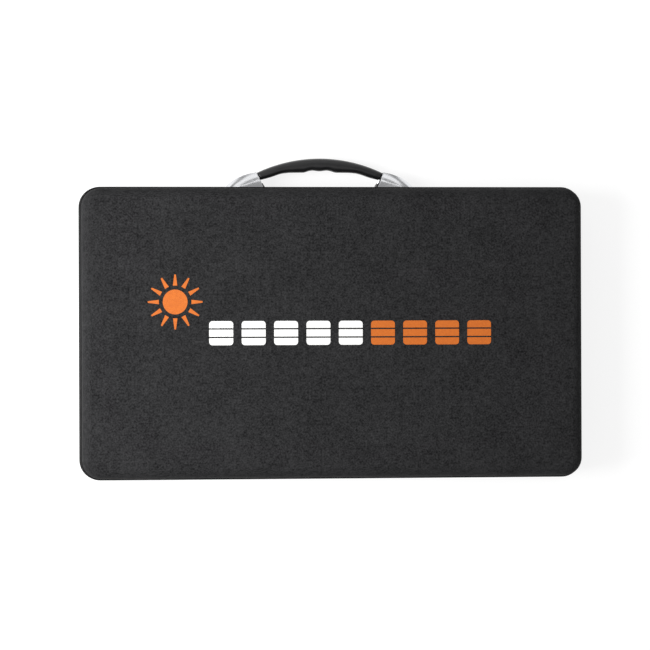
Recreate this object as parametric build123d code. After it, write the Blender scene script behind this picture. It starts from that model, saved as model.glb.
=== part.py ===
"""Solar suitcase kit: a zipped, moulded carry case that holds a folding pair of framed solar panels.

The case lies on its back face. X runs along its length, +Y points to the carry handle and +Z out of the lid.
The origin is the centre of the back face, and all sizes are in millimetres.
"""

from build123d import *
import os
from math import asin, cos, pi, sin

os.makedirs("parts", exist_ok=True)

# ---------------------------------------------------------------- driving sizes: case
PACK_SIDE = 15.0  # from the panels' short rails to the wall's inside
HANDLE_SIDE = 26.6  # from the panels' long rail to the wall's inside, on the handle's side
LID_CLEAR = 5.0  # from the upper panel's back to the lid's pad
FOLD_TO_PARTING = 10.0  # height of the zip's centre line above the folded panels' parting
CORNER_R = 31.0  # of the piping's outline
PIPING_PROUD = 3.0  # how far the piping stands out of the wall
PIPING_HIGH = 5.0
WALL = 4.0  # fabric laminated on foam
FACE_R = 14.0  # rounding between a wall and a face
RIM_GAP = 5.0  # from the parting plane to each shell's rim
TAPE_THICK = 1.0
TAPE_OVERLAP = 9.0  # of a tape on the inside of its wall
TEETH_PROUD = 2.4
TEETH_HIGH = 3.1
TEETH_GAP = 0.3  # from the parting plane to each row of teeth
TAPE_GAP = 0.4  # from the parting plane to each tape
SPINE_END = 59.0  # from where the corner starts to the end of the fabric spine
SPINE_THICK = 1.4
SPINE_CLEAR = 0.3  # from the piping's outside to the fold line of the spine
BASE_PAD = 8.0
LID_PAD = 3.0
PAD_CLEAR = 1.0  # from the rounding inside a face to a pad's edge

# ---------------------------------------------------------------- driving sizes: solar panels
PANEL_X = 736.0
PANEL_Y = 396.0
FRAME_DEEP = 35.0
PANEL_GAP = 2.0  # between the two folded panels
FOLD_CLEAR = 7.0  # from the spine fabric to the fold hinge's axis
FRAME_WALL = 1.8
FRAME_LIP = 8.0
LIP_THICK = 1.2
SHELF_FROM_FRONT = 6.8  # from the frame's front to the shelf that carries the laminate
CHAMBER_DEEP = 13.0
CHAMBER_WIDE = 9.0
CHAMBER_WALL = 1.3
BACK_FLANGE = 22.0
FLANGE_THICK = 1.6
KEY_CLEAR = 0.15
KEY_LEG = 32.0
SHEET_EDGE = 0.4  # from a sheet's edge to the frame's wall
BACKSHEET = 0.5
CELL_THICK = 0.4
RIBBON_THICK = 0.2
RIBBON_WIDE = 1.8
GLASS = 3.2
CELL_COLUMNS, CELL_ROWS = 9, 4
CELL_SPACE = 2.0
CELL_BORDER_X, CELL_BORDER_Y = 17.0, 22.0  # from the frame's outside to the cells, with half a space
CELL_CORNER = 5.0
CAP_THICK = 1.6
CAP_LEG = 30.0
BUMPER_R = 3.0
BUMPER_HIGH = 1.7
BUMPER_FROM_END = 60.0
HINGE_FROM_END = 118.0
HINGE_WIDE = 60.0
BARREL_R = 4.0
FOLD_PIN_R = 2.0
PIN_CLEAR = 0.05
KNUCKLE_GAP = 0.3
AXIS_TO_FRAME = 5.0  # from the fold axis to the frames' faces
LEAF_THICK = 2.0
LEAF_HIGH = 25.0
RIVET_R = 2.0
RIVET_HEAD_R = 3.6
RIVET_HEAD = 1.2
RIVET_AT = 15.0  # from the fold axis
RIVET_TAIL_R, RIVET_TAIL = 2.9, 1.0
RIVET_PITCH = 20.0
LEG_FLAT, LEG_THICK = 16.0, 3.0
LEG_FROM_BACK = 3.0  # from the frame's back to the leg's lower edge
LEG_FROM_FOLD = 34.0  # from the frame's fold side to the leg's pivot end
LEG_FROM_BOX = 8.0
LEG_FROM_FLANGE = 4.0
LEG_BAR_R = 5.0
BOX_X, BOX_Y, BOX_Z = 92.0, 66.0, 17.0  # junction box
BOX_FROM_HANDLE = 62.0  # from the frame's handle side to the box's middle
GLAND_R, GLAND_OUT, GLAND_AT = 5.5, 9.0, 24.0
CONTROLLER_X, CONTROLLER_Y, CONTROLLER_Z = 136.0, 76.0, 22.0
BUTTON_R, BUTTON_PROUD = 4.0, 1.4
WIRE_ENTRY_R = 1.9
LATCH_FROM_END = 143.0
LATCH_WIDE = 22.0
LATCH_PIN_R = 1.5
LATCH_OPEN = 25.0  # degrees that a released latch stands off its keeper

# ---------------------------------------------------------------- driving sizes: carry handle
HANDLE_X = -14.0  # the handle's middle along the case
HANDLE_Z = 29.0
FOOT_TIP = 147.5  # from the handle's middle to a foot's outer tip
FOOT_INNER = 87.5  # from the handle's middle to a foot's inner end, at the wall
FOOT_TOP_AT = 99.5  # from the handle's middle to a foot's highest point
FOOT_HIGH = 27.0
FOOT_WIDE = 29.0
FOOT_SHELL = 1.6
GRIP_END = 94.5  # from the handle's middle to the middle of a grip's end
GRIP_END_HIGH = 20.8
GRIP_RISE = 17.6  # of the grip's centre line between its ends and its middle
GRIP_END_THICK, GRIP_MID_THICK = 12.0, 19.0
GRIP_END_WIDE, GRIP_MID_WIDE = 17.0, 24.0
STRAP_THICK, STRAP_WIDE = 1.6, 12.0
ANCHOR_AT, ANCHOR_HIGH, ANCHOR_R = 109.0, 12.6, 1.6
HANDLE_LIFT = 3.0  # free travel of the handle on its anchor pins
SCREW_R, SCREW_HEAD_R, SCREW_HEAD = 2.0, 3.8, 2.6
SCREW_AT = (98.5, 128.0)  # from the handle's middle
PLATE_THICK = 2.0

# ---------------------------------------------------------------- driving sizes: zip sliders and print
SLIDER_AT = 15.0  # each slider from the handle's middle, with the zip closed
SLIDER_X, SLIDER_Z = 12.0, 8.8
SLIDER_PLATE = 1.5
PULL_BAR_R = 0.6
PULL_LONG, PULL_WIDE, PULL_THICK = 27.0, 7.6, 1.6
PRINT_THICK = 0.3
TILE, TILE_PITCH, TILE_GROOVE = 37.0, 50.0, 2.2
WHITE_TILES, ORANGE_TILES = 5, 4
SUN_X, SUN_Y, SUN_R, RAY_FROM, RAY_TO, RAYS = -246.0, 48.0, 19.0, 25.0, 42.0, 12

# ---------------------------------------------------------------- places worked out from them
IN_X = PANEL_X / 2 + PACK_SIDE
IN_Y = (SPINE_THICK + FOLD_CLEAR + AXIS_TO_FRAME + PANEL_Y + HANDLE_SIDE) / 2
WALL_X, WALL_Y = IN_X + WALL, IN_Y + WALL  # outside of the walls
CASE_X, CASE_Y = 2 * (WALL_X + PIPING_PROUD), 2 * (WALL_Y + PIPING_PROUD)  # over the piping
PACK_Z = WALL + BASE_PAD
FOLD_Z = PACK_Z + FRAME_DEEP + PANEL_GAP / 2
PARTING_Z = FOLD_Z + FOLD_TO_PARTING
CASE_Z = FOLD_Z + PANEL_GAP / 2 + FRAME_DEEP + LID_CLEAR + LID_PAD + WALL
WALL_R = CORNER_R - PIPING_PROUD
IN_R = WALL_R - WALL
BASE_RIM, LID_RIM = PARTING_Z - RIM_GAP, PARTING_Z + RIM_GAP
SPINE_Y = -CASE_Y / 2 - SPINE_CLEAR  # axis on which the lid turns
FOLD_Y = -IN_Y + SPINE_THICK + FOLD_CLEAR  # axis on which the panels fold
SPINE_X = 2 * (IN_X - IN_R - SPINE_END)
FRAME_Y0 = FOLD_Y + AXIS_TO_FRAME
FRAME_Y1 = FRAME_Y0 + PANEL_Y
FRAME_YC = (FRAME_Y0 + FRAME_Y1) / 2
SHELF_H = FRAME_DEEP - SHELF_FROM_FRONT
HINGE_AT_X = PANEL_X / 2 - HINGE_FROM_END
LATCH_AT_X = PANEL_X / 2 - LATCH_FROM_END
CELL_X = (PANEL_X - 2 * CELL_BORDER_X) / CELL_COLUMNS - CELL_SPACE
CELL_Y = (PANEL_Y - 2 * CELL_BORDER_Y) / CELL_ROWS - CELL_SPACE
BOX_AT = PANEL_Y / 2 - BOX_FROM_HANDLE
LEG_Y0 = LEG_FROM_FOLD - PANEL_Y / 2
LEG_LENGTH = BOX_AT - BOX_Y / 2 - GLAND_OUT - LEG_FROM_BOX - LEG_Y0
LEG_X = PANEL_X / 2 - BACK_FLANGE - LEG_FROM_FLANGE
SHEET_X, SHEET_Y = (n - 2 * (FRAME_WALL + SHEET_EDGE) for n in (PANEL_X, PANEL_Y))


def save(name, *solids):
    """Writes one sub-part: a single solid, or a group of separate ones."""
    flat = [s for item in solids for s in (item.solids() if hasattr(item, "solids") else item)]
    shape = flat[0] if len(flat) == 1 else Compound(children=flat)
    export_step(shape, f"parts/{name}.step")


def box(x0, x1, y0, y1, z0, z1):
    """A block between two corners."""
    return Pos((x0 + x1) / 2, (y0 + y1) / 2, (z0 + z1) / 2) * Box(x1 - x0, y1 - y0, z1 - z0)


def rounded(half_x, half_y, r, z0, z1):
    """An upright block with rounded corners, centred on the Z axis."""
    outline = RectangleRounded(2 * half_x, 2 * half_y, r)
    return extrude(Pos(0, 0, z0) * outline, z1 - z0)


def ring(half_x, half_y, r, thick, z0, z1):
    """A rounded frame of that thickness, inside the given outline."""
    return rounded(half_x, half_y, r, z0, z1) - rounded(
        half_x - thick, half_y - thick, r - thick, z0 - 1, z1 + 1
    )


def rod(r, start, end):
    """A round bar between two points."""
    line = Vector(*end) - Vector(*start)
    return Plane(origin=start, z_dir=line) * extrude(Circle(r), line.length)


def mirror_x(shape, about=0.0):
    """The shape mirrored to the other side of x = about."""
    return mirror(shape, Plane(origin=(about, 0, 0), z_dir=(1, 0, 0)))


# ---------------------------------------------------------------- case shells, pads and rims
def shell(face_z, rim_z):
    """A tray with rounded corners and a large rounding between its walls and its face."""
    low, high = min(face_z, rim_z), max(face_z, rim_z)
    towards = 1 if rim_z > face_z else -1
    outer = rounded(WALL_X, WALL_Y, WALL_R, low, high)
    outer = fillet(outer.faces().sort_by(Axis.Z)[0 if towards > 0 else -1].edges(), FACE_R)
    inner_face = face_z + towards * WALL
    inner = rounded(IN_X, IN_Y, IN_R, *sorted((inner_face, rim_z + towards)))
    inner = fillet(
        inner.faces().sort_by(Axis.Z)[0 if towards > 0 else -1].edges(), FACE_R - WALL
    )
    return outer - inner


def piping(z0):
    """The welt round a shell's rim, rounded on the outside."""
    band = rounded(CASE_X / 2, CASE_Y / 2, CORNER_R, z0, z0 + PIPING_HIGH)
    for face in (band.faces().sort_by(Axis.Z)[0], band.faces().sort_by(Axis.Z)[-1]):
        edges = face.edges()
        band = fillet(band.edges().filter_by(lambda e: any(e.is_same(k) for k in edges)), 2.2)
    return band - rounded(WALL_X, WALL_Y, WALL_R, z0 - 1, z0 + PIPING_HIGH + 1)


def spine_block(grow=0.0):
    """The stretch of the hinge side that the fabric spine takes."""
    half = SPINE_X / 2 + grow
    return box(-half, half, -CASE_Y / 2 - 5, -IN_Y + 20, 0, CASE_Z)


base_shell = shell(0, BASE_RIM)
lid_shell = shell(CASE_Z, LID_RIM)
base_tape_z = (BASE_RIM - TAPE_OVERLAP, PARTING_Z - TAPE_GAP)
lid_tape_z = (PARTING_Z + TAPE_GAP, LID_RIM + TAPE_OVERLAP)
base_teeth_z = (PARTING_Z - TEETH_GAP - TEETH_HIGH, PARTING_Z - TEETH_GAP)
lid_teeth_z = (PARTING_Z + TEETH_GAP, PARTING_Z + TEETH_GAP + TEETH_HIGH)

save("base_piping", piping(BASE_RIM - PIPING_HIGH))
save("lid_piping", piping(LID_RIM))
for half, tape_z, teeth_z in (
    ("base", base_tape_z, base_teeth_z),
    ("lid", lid_tape_z, lid_teeth_z),
):
    tape = ring(IN_X, IN_Y, IN_R, TAPE_THICK, *tape_z)
    teeth = ring(
        IN_X + TEETH_PROUD, IN_Y + TEETH_PROUD, IN_R + TEETH_PROUD, TEETH_PROUD, *teeth_z
    )
    spine = ring(IN_X, IN_Y, IN_R, SPINE_THICK, *tape_z)
    save(f"{half}_zip_half", tape + teeth - spine_block(0.5))
    save(f"{half}_spine", spine & spine_block())

pad_inset = FACE_R - WALL + PAD_CLEAR
pad_x, pad_y, pad_r = IN_X - pad_inset, IN_Y - pad_inset, IN_R - pad_inset
save("base_pad", rounded(pad_x, pad_y, pad_r, WALL, PACK_Z))
save("lid_pad", rounded(pad_x, pad_y, pad_r, CASE_Z - WALL - LID_PAD, CASE_Z - WALL))


# ---------------------------------------------------------------- print on the lid
def sun():
    """A disc with tapered rays round it."""
    shapes = [extrude(Circle(SUN_R), PRINT_THICK)]
    for k in range(RAYS):
        ray = Polygon((RAY_FROM, -3.4), (RAY_TO, -1.2), (RAY_TO, 1.2), (RAY_FROM, 3.4), align=None)
        shapes.append(Rot(0, 0, 360 / RAYS * k) * extrude(ray, PRINT_THICK))
    return [Pos(SUN_X, SUN_Y, CASE_Z) * s for s in shapes]


def tile(index):
    """One square of the print, parted by two grooves like a cell's busbars."""
    square = extrude(RectangleRounded(TILE, TILE, 5), PRINT_THICK)
    for y in (-TILE / 6, TILE / 6):
        square -= Pos(0, y, 0) * Box(TILE + 2, TILE_GROOVE, 4 * PRINT_THICK)
    x = SUN_X + RAY_TO + TILE / 2 + 10 + index * TILE_PITCH
    return [Pos(x, 0, CASE_Z) * s for s in square.solids()]


tiles = [tile(i) for i in range(WHITE_TILES + ORANGE_TILES)]
save("lid_print_white", *[s for t in tiles[:WHITE_TILES] for s in t])
save("lid_print_orange", *sun(), *[s for t in tiles[WHITE_TILES:] for s in t])


# ---------------------------------------------------------------- carry handle
# Side outlines are drawn with u along X from the handle's middle and v out of the wall.
def side(sketch, wide):
    """Extrudes a u, v outline to a width centred on the handle's height in Z."""
    return Pos(HANDLE_X, WALL_Y, HANDLE_Z - wide / 2) * extrude(sketch, wide)


def foot_outline(shrink=0.0):
    """Side view of a foot: a low streamlined wedge with a sloping inner end."""
    tip, inner, top_at = FOOT_TIP - 2.2 * shrink, FOOT_INNER + 1.15 * shrink, FOOT_TOP_AT + 0.6 * shrink
    high = FOOT_HIGH - shrink
    mid = ((tip + top_at) / 2 + 2.5, high * 0.66)
    crown = ThreePointArc((tip, 0), mid, (top_at, high))
    return make_face(
        [
            Line((inner, 0), (tip, 0)),
            crown,
            Line((top_at, high), (inner, 0)),
        ]
    )


def foot_plan(shrink=0.0):
    """Plan view of a foot: half round at the outer tip and square at the inner end."""
    half = FOOT_WIDE / 2 - shrink
    tip, shoulder = FOOT_TIP - 2.2 * shrink, FOOT_TOP_AT + 12
    mid_at = (tip - shoulder) * 0.76 + shoulder
    return make_face(
        [
            Line((FOOT_INNER - 1, -half), (shoulder, -half)),
            ThreePointArc((shoulder, -half), (mid_at, -half * 0.62), (tip, 0)),
            ThreePointArc((tip, 0), (mid_at, half * 0.62), (shoulder, half)),
            Line((shoulder, half), (FOOT_INNER - 1, half)),
            Line((FOOT_INNER - 1, half), (FOOT_INNER - 1, -half)),
        ]
    )


def foot_body(shrink=0.0):
    """Solid of a foot in its own frame: u along X, v along Y, width along Z about zero."""
    body = extrude(foot_outline(shrink), FOOT_WIDE / 2, both=True)
    plan = extrude(Plane.XZ * foot_plan(shrink), -2 * FOOT_HIGH, both=True)
    body = body & plan
    for s in (1, -1):  # the upper flanks lean in above a crease that runs down to the tip
        crease_in = Vector(FOOT_INNER, 15.5 - shrink, s * (FOOT_WIDE / 2 - shrink))
        crease_tip = Vector(FOOT_TIP, 1.0, s * (FOOT_WIDE / 2 - 4 - shrink))
        top_in = Vector(FOOT_TOP_AT, FOOT_HIGH - shrink, s * (8.5 - shrink))
        along, up = crease_tip - crease_in, top_in - crease_in
        normal = along.cross(up).normalized()
        if normal.Z * s < 0:
            normal = -normal
        cutter = Plane(origin=crease_in, z_dir=normal) * Pos(0, 0, 50) * Box(400, 400, 100)
        body = body - cutter
    return body


def grip_frame(t):
    """Plane across the grip at share t of its centre line, and how swollen the grip is there."""
    half, rise = GRIP_END, GRIP_RISE
    radius = (half**2 + rise**2) / (2 * rise)
    turn = asin(half / radius) * (1 - 2 * t)
    centre = Vector(-radius * sin(turn), GRIP_END_HIGH + rise - radius + radius * cos(turn), 0)
    along = Vector(cos(turn), sin(turn), 0)
    swell = sin(pi * t) if 0 < t < 1 else 0.0
    return Plane(origin=centre, x_dir=(0, 0, 1), z_dir=along), swell


def grip_solid():
    """The soft grip: oval sections carried along a shallow arc, thickest at the middle."""
    sections = []
    for k in range(9):
        plane, swell = grip_frame(k / 8)
        wide = GRIP_END_WIDE + (GRIP_MID_WIDE - GRIP_END_WIDE) * swell
        thick = GRIP_END_THICK + (GRIP_MID_THICK - GRIP_END_THICK) * swell
        sections.append(plane * Ellipse(wide / 2, thick / 2))
    return loft(sections)


def strap_solid():
    """Spring-steel core: an arched band with a slotted eye at each end."""
    half, rise = GRIP_END, GRIP_RISE
    radius = (half**2 + rise**2) / (2 * rise)
    middle = GRIP_END_HIGH + rise
    end_turn = asin(half / radius)

    def arc_point(turn, offset):
        r = radius + offset
        return (r * sin(turn), middle - radius + r * cos(turn))

    out, inn = STRAP_THICK / 2, -STRAP_THICK / 2
    band = make_face(
        [
            ThreePointArc(
                arc_point(-end_turn, out), arc_point(0, out), arc_point(end_turn, out)
            ),
            Line(arc_point(end_turn, out), arc_point(end_turn, inn)),
            ThreePointArc(
                arc_point(end_turn, inn), arc_point(0, inn), arc_point(-end_turn, inn)
            ),
            Line(arc_point(-end_turn, inn), arc_point(-end_turn, out)),
        ]
    )
    slot_low = ANCHOR_HIGH - ANCHOR_R - HANDLE_LIFT - 0.2
    slot_high = ANCHOR_HIGH + ANCHOR_R + 0.1
    eye_half = ANCHOR_R + 0.1 + 1.5
    eye = Pos(ANCHOR_AT, (slot_low + slot_high) / 2) * Rectangle(
        2 * eye_half, slot_high - slot_low + 3.0
    )
    hole = Pos(ANCHOR_AT, (slot_low + slot_high) / 2) * Rectangle(
        2 * (ANCHOR_R + 0.1), slot_high - slot_low
    )
    tail_top, tail_low = arc_point(end_turn, out), arc_point(end_turn, inn)
    tail = make_face(
        Polyline(
            tail_top,
            (ANCHOR_AT - eye_half + 0.5, slot_high + 1.5),
            (ANCHOR_AT - eye_half + 0.5, slot_high - 0.4),
            tail_low,
            close=True,
        ).edges()
    )
    right = (eye + tail) - hole
    sketch = band + right + mirror(right, Plane.YZ)
    return side(sketch, STRAP_WIDE)


strap = strap_solid()
grip = Pos(HANDLE_X, WALL_Y, HANDLE_Z) * grip_solid() - strap
save("handle_grip", grip)
save("handle_strap", strap)

foot_outer, foot_inner = foot_body(), foot_body(FOOT_SHELL)
slot_half = STRAP_WIDE / 2 + 1.2
strap_slot = box(FOOT_INNER - 4, ANCHOR_AT + 2, ANCHOR_HIGH, FOOT_HIGH - FOOT_SHELL, -slot_half, slot_half)
cover_solid = foot_outer - foot_inner - strap_slot
lip_slope = (FOOT_TOP_AT - FOOT_INNER) / FOOT_HIGH


def foot_insert():
    """Black insert under a foot's cover: floor, pin cheeks, screw bosses and a lip at its inner end."""
    floor = foot_inner & box(0, FOOT_TIP, 0, 3.0, -FOOT_WIDE, FOOT_WIDE)
    cheek_low, cheek_high = STRAP_WIDE / 2 + 0.4, STRAP_WIDE / 2 + 3.4
    body = floor
    for s in (1, -1):
        z0, z1 = sorted((s * cheek_low, s * cheek_high))
        cheek = box(ANCHOR_AT - 5, ANCHOR_AT + 5, 2.5, ANCHOR_HIGH + 4, z0, z1)
        body = body + (cheek & foot_inner)
    for at in SCREW_AT:
        body = body + (rod(4.2, (at, 2.5, 0), (at, 6.0, 0)) & foot_inner)
    lip = make_face(
        Polyline(
            (FOOT_INNER - 3, 0),
            (FOOT_INNER + 2.2, 0),
            (FOOT_INNER + 2.2 + 9.5 * lip_slope, 9.5),
            (FOOT_INNER - 1.5 + 9.5 * lip_slope, 9.5),
            close=True,
        ).edges()
    )
    lip = extrude(lip, FOOT_WIDE / 2 - FOOT_SHELL - 0.6, both=True)
    return body + lip


insert_solid = foot_insert()
cover_solid = cover_solid - insert_solid
for at in SCREW_AT:
    insert_solid = insert_solid - rod(SCREW_R + PIN_CLEAR, (at, -1, 0), (at, 6.5, 0))
pin_solid = rod(
    ANCHOR_R,
    (ANCHOR_AT, ANCHOR_HIGH, -STRAP_WIDE / 2 - 3.4),
    (ANCHOR_AT, ANCHOR_HIGH, STRAP_WIDE / 2 + 3.4),
)
insert_solid = insert_solid - rod(
    ANCHOR_R + PIN_CLEAR, (ANCHOR_AT, ANCHOR_HIGH, -FOOT_WIDE), (ANCHOR_AT, ANCHOR_HIGH, FOOT_WIDE)
)

screws, plates, pins = [], [], []
for hand, name in ((1, "right"), (-1, "left")):
    turn = Pos(HANDLE_X, WALL_Y, HANDLE_Z)

    def place(shape):
        """Puts a foot's piece on this end of the handle."""
        return turn * (shape if hand > 0 else mirror_x(shape))

    save(f"handle_cover_{name}", place(cover_solid))
    save(f"handle_insert_{name}", place(insert_solid))
    pins.append(place(pin_solid))
    low, high = SCREW_AT[0] - 9, SCREW_AT[1] + 9
    plate = box(low, high, -WALL - PLATE_THICK, -WALL, -11, 11)
    for at in SCREW_AT:
        head_y = -WALL - PLATE_THICK
        shank = rod(SCREW_R, (at, head_y - 0.1, 0), (at, 5.5, 0))
        head = rod(SCREW_HEAD_R, (at, head_y - SCREW_HEAD, 0), (at, head_y, 0))
        head = fillet(head.edges().sort_by(Axis.Y)[0], 1.2)
        slot = box(at - 2.4, at + 2.4, head_y - SCREW_HEAD - 1, head_y - SCREW_HEAD + 1.1, -0.5, 0.5)
        screws.append(place(head + shank - slot))
        hole = rod(SCREW_R + PIN_CLEAR, (at, head_y - 1, 0), (at, 0.5, 0))
        plate = plate - hole
        base_shell = base_shell - place(hole)
    plates.append(place(plate))
save("handle_screws", *screws)
save("handle_backing_plates", *plates)
save("handle_pins", *pins)
save("base_shell", base_shell)
save("lid_shell", lid_shell)


# ---------------------------------------------------------------- zip sliders and pulls
def slider():
    """A slider's two plates, the thin web between the teeth, and the bridge that carries the pull."""
    inner_y, outer_y = IN_Y - TAPE_THICK - 0.3, IN_Y + TEETH_PROUD + 0.3
    z0, z1 = PARTING_Z - SLIDER_Z / 2, PARTING_Z + SLIDER_Z / 2
    half = SLIDER_X / 2
    outer = box(-half, half, outer_y, outer_y + SLIDER_PLATE, z0, z1)
    outer = fillet(outer.edges().filter_by(Axis.Y), 2.2)
    inner = box(-half, half, inner_y - SLIDER_PLATE, inner_y, z0, z1)
    inner = fillet(inner.edges().filter_by(Axis.Y), 2.2)
    web_half = TEETH_GAP / 2
    web = box(-half, half, inner_y, outer_y, PARTING_Z - web_half, PARTING_Z + web_half)
    top = outer_y + SLIDER_PLATE
    bridge = box(-4.4, 4.4, top, top + 3.0, PARTING_Z - 1.1, PARTING_Z + 1.1)
    bridge = fillet(bridge.edges().filter_by(Axis.Z).group_by(Axis.Y)[-1], 1.4)
    bridge = bridge - box(-2.6, 2.6, top - 0.1, top + 2.0, PARTING_Z - 2, PARTING_Z + 2)
    return outer + inner + web + bridge


def pull():
    """A pull tab that hangs by its bar under the slider's bridge and lies along +X."""
    bar_y = IN_Y + TEETH_PROUD + 0.3 + SLIDER_PLATE + 1.0
    arm_in, arm_out = 1.5, 2.9
    bar = rod(PULL_BAR_R, (0, bar_y, PARTING_Z - arm_out), (0, bar_y, PARTING_Z + arm_out))
    tab = bar
    for s in (1, -1):
        z0, z1 = sorted((PARTING_Z + s * arm_in, PARTING_Z + s * arm_out))
        tab = tab + box(0, 7.5, bar_y - PULL_BAR_R, bar_y + PULL_BAR_R, z0, z1)
    half = PULL_WIDE / 2
    plate = box(
        6.2, PULL_LONG, bar_y - PULL_THICK / 2, bar_y + PULL_THICK / 2, PARTING_Z - half, PARTING_Z + half
    )
    plate = fillet(plate.edges().filter_by(Axis.Y), 2.4)
    plate = plate - rod(1.6, (PULL_LONG - 5, bar_y - 3, PARTING_Z), (PULL_LONG - 5, bar_y + 3, PARTING_Z))
    return tab + plate


for hand, name in ((1, "right"), (-1, "left")):
    at = HANDLE_X + hand * SLIDER_AT
    for node, shape in (("slider", slider()), ("pull", pull())):
        save(f"zip_{node}_{name}", Pos(at, 0, 0) * (shape if hand > 0 else mirror_x(shape)))


# ---------------------------------------------------------------- solar panels
# A panel is drawn with its back at z = 0 and its glass side up, centred on X and Y.
def rail_profile():
    """Section of a frame rail: a runs in from the outer face, h up from the back."""
    low = SHELF_H - CHAMBER_DEEP
    profile = Pos(FRAME_WALL / 2, FRAME_DEEP / 2) * Rectangle(FRAME_WALL, FRAME_DEEP)
    parts = (
        (0, FRAME_LIP, FRAME_DEEP - LIP_THICK, FRAME_DEEP),
        (0, CHAMBER_WIDE, SHELF_H - CHAMBER_WALL, SHELF_H),
        (0, CHAMBER_WIDE, low, low + CHAMBER_WALL),
        (CHAMBER_WIDE - CHAMBER_WALL, CHAMBER_WIDE, low, SHELF_H),
        (0, BACK_FLANGE, 0, FLANGE_THICK),
    )
    for a0, a1, h0, h1 in parts:
        profile += Pos((a0 + a1) / 2, (h0 + h1) / 2) * Rectangle(a1 - a0, h1 - h0)
    return profile


def rail(length, out):
    """A mitred rail along X whose outer face is at y = -out."""
    plane = Plane(origin=(-length / 2, -out, 0), x_dir=(0, 1, 0), z_dir=(1, 0, 0))
    bar = extrude(plane * rail_profile(), length)
    for s in (1, -1):
        reach = 2 * BACK_FLANGE
        corner = (s * length / 2, -out)
        wedge = make_face(
            Polyline(
                (corner[0] - s * reach, -out + reach),
                (corner[0] + s, -out - 1),
                (corner[0] + s, -out + reach),
                close=True,
            ).edges()
        )
        bar = bar - Pos(0, 0, -1) * extrude(wedge, FRAME_DEEP + 2)
    return bar


def corner_key():
    """An L-shaped key that fills the rails' chamber at the corner at +X, -Y."""
    a0, a1 = FRAME_WALL + KEY_CLEAR, CHAMBER_WIDE - CHAMBER_WALL - KEY_CLEAR
    h0 = SHELF_H - CHAMBER_DEEP + CHAMBER_WALL + KEY_CLEAR
    h1 = SHELF_H - CHAMBER_WALL - KEY_CLEAR
    x, y = PANEL_X / 2, -PANEL_Y / 2
    return box(x - a0 - KEY_LEG, x - a0, y + a0, y + a1, h0, h1) + box(
        x - a1, x - a0, y + a0, y + a0 + KEY_LEG, h0, h1
    )


def corner_cap():
    """A moulded guard round the corner at +X, -Y."""
    x, y = PANEL_X / 2, -PANEL_Y / 2
    outer = box(x - CAP_LEG, x + CAP_THICK, y - CAP_THICK, y + CAP_LEG, 0, FRAME_DEEP)
    upright = outer.edges().filter_by(Axis.Z)
    outer = fillet(upright.sort_by(lambda e: e.center().X - e.center().Y)[-1], CAP_THICK)
    return outer - box(x - CAP_LEG - 1, x, y, y + CAP_LEG + 1, -1, FRAME_DEEP + 1)


def four(shape):
    """The shape at all four corners of a panel."""
    flipped = mirror(shape, Plane.XZ)
    return [shape, mirror_x(shape), flipped, mirror_x(flipped)]


def cells():
    """The grid of cells, each with its corners cut off."""
    step_x, step_y = CELL_X + CELL_SPACE, CELL_Y + CELL_SPACE
    blank = chamfer(Rectangle(CELL_X, CELL_Y).vertices(), CELL_CORNER)
    cell = extrude(blank, CELL_THICK)
    found = []
    for i in range(CELL_COLUMNS):
        for j in range(CELL_ROWS):
            x = (i - (CELL_COLUMNS - 1) / 2) * step_x
            y = (j - (CELL_ROWS - 1) / 2) * step_y
            found.append(Pos(x, y, SHELF_H + BACKSHEET) * cell)
    return found


def ribbons():
    """Two ribbons along each string of cells, and the links that join the strings at their ends."""
    z = SHELF_H + BACKSHEET + CELL_THICK
    half = CELL_COLUMNS * (CELL_X + CELL_SPACE) / 2
    step = CELL_Y + CELL_SPACE
    found = []
    for j in range(CELL_ROWS):
        y = (j - (CELL_ROWS - 1) / 2) * step
        for s in (-1, 1):
            at = y + s * CELL_Y / 4
            found.append(box(-half, half, at - RIBBON_WIDE / 2, at + RIBBON_WIDE / 2, z, z + RIBBON_THICK))
    return found


def leg_pair():
    """A stowed U-shaped leg: two flat arms beside the short rails and the tube that joins them."""
    x, y0 = LEG_X, LEG_Y0
    h0, h1 = LEG_FROM_BACK, LEG_FROM_BACK + LEG_FLAT
    arms = []
    for s in (1, -1):
        xa, xb = sorted((s * x, s * (x - LEG_THICK)))
        arm = box(xa, xb, y0, y0 + LEG_LENGTH, h0, h1)
        arm = fillet(arm.edges().filter_by(Axis.X), LEG_FLAT / 2 - 0.1)
        hole_y = y0 + LEG_FLAT / 2
        arm = arm - rod(2.5 + PIN_CLEAR, (xa - 1, hole_y, (h0 + h1) / 2), (xb + 1, hole_y, (h0 + h1) / 2))
        arms.append(arm)
    bar_y, bar_h = y0 + LEG_LENGTH - LEG_FLAT / 2, (h0 + h1) / 2
    inner = x - LEG_THICK
    return [*arms, rod(LEG_BAR_R, (-inner, bar_y, bar_h), (inner, bar_y, bar_h))]


def leg_mounts():
    """For each arm, an angle bracket on the back flange and a bolt through both."""
    x, y = LEG_X, LEG_Y0 + LEG_FLAT / 2
    h = LEG_FROM_BACK + LEG_FLAT / 2
    brackets, bolts = [], []
    for s in (1, -1):
        foot = box(x + 0.5, x + 16, y - 11, y + 11, FLANGE_THICK, FLANGE_THICK + 2)
        wall = box(x + 0.5, x + 2.5, y - 11, y + 11, FLANGE_THICK, h + 9)
        bracket = foot + wall - rod(2.5 + PIN_CLEAR, (x - 1, y, h), (x + 4, y, h))
        bolt = rod(2.5, (x - LEG_THICK - 0.1, y, h), (x + 2.6, y, h))
        bolt = bolt + rod(4.6, (x - LEG_THICK - 3.2, y, h), (x - LEG_THICK, y, h))
        bolt = bolt + rod(4.2, (x + 2.5, y, h), (x + 6.0, y, h))
        for shape, group in ((bracket, brackets), (bolt, bolts)):
            group.append(shape if s > 0 else mirror_x(shape))
    return brackets, bolts


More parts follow.
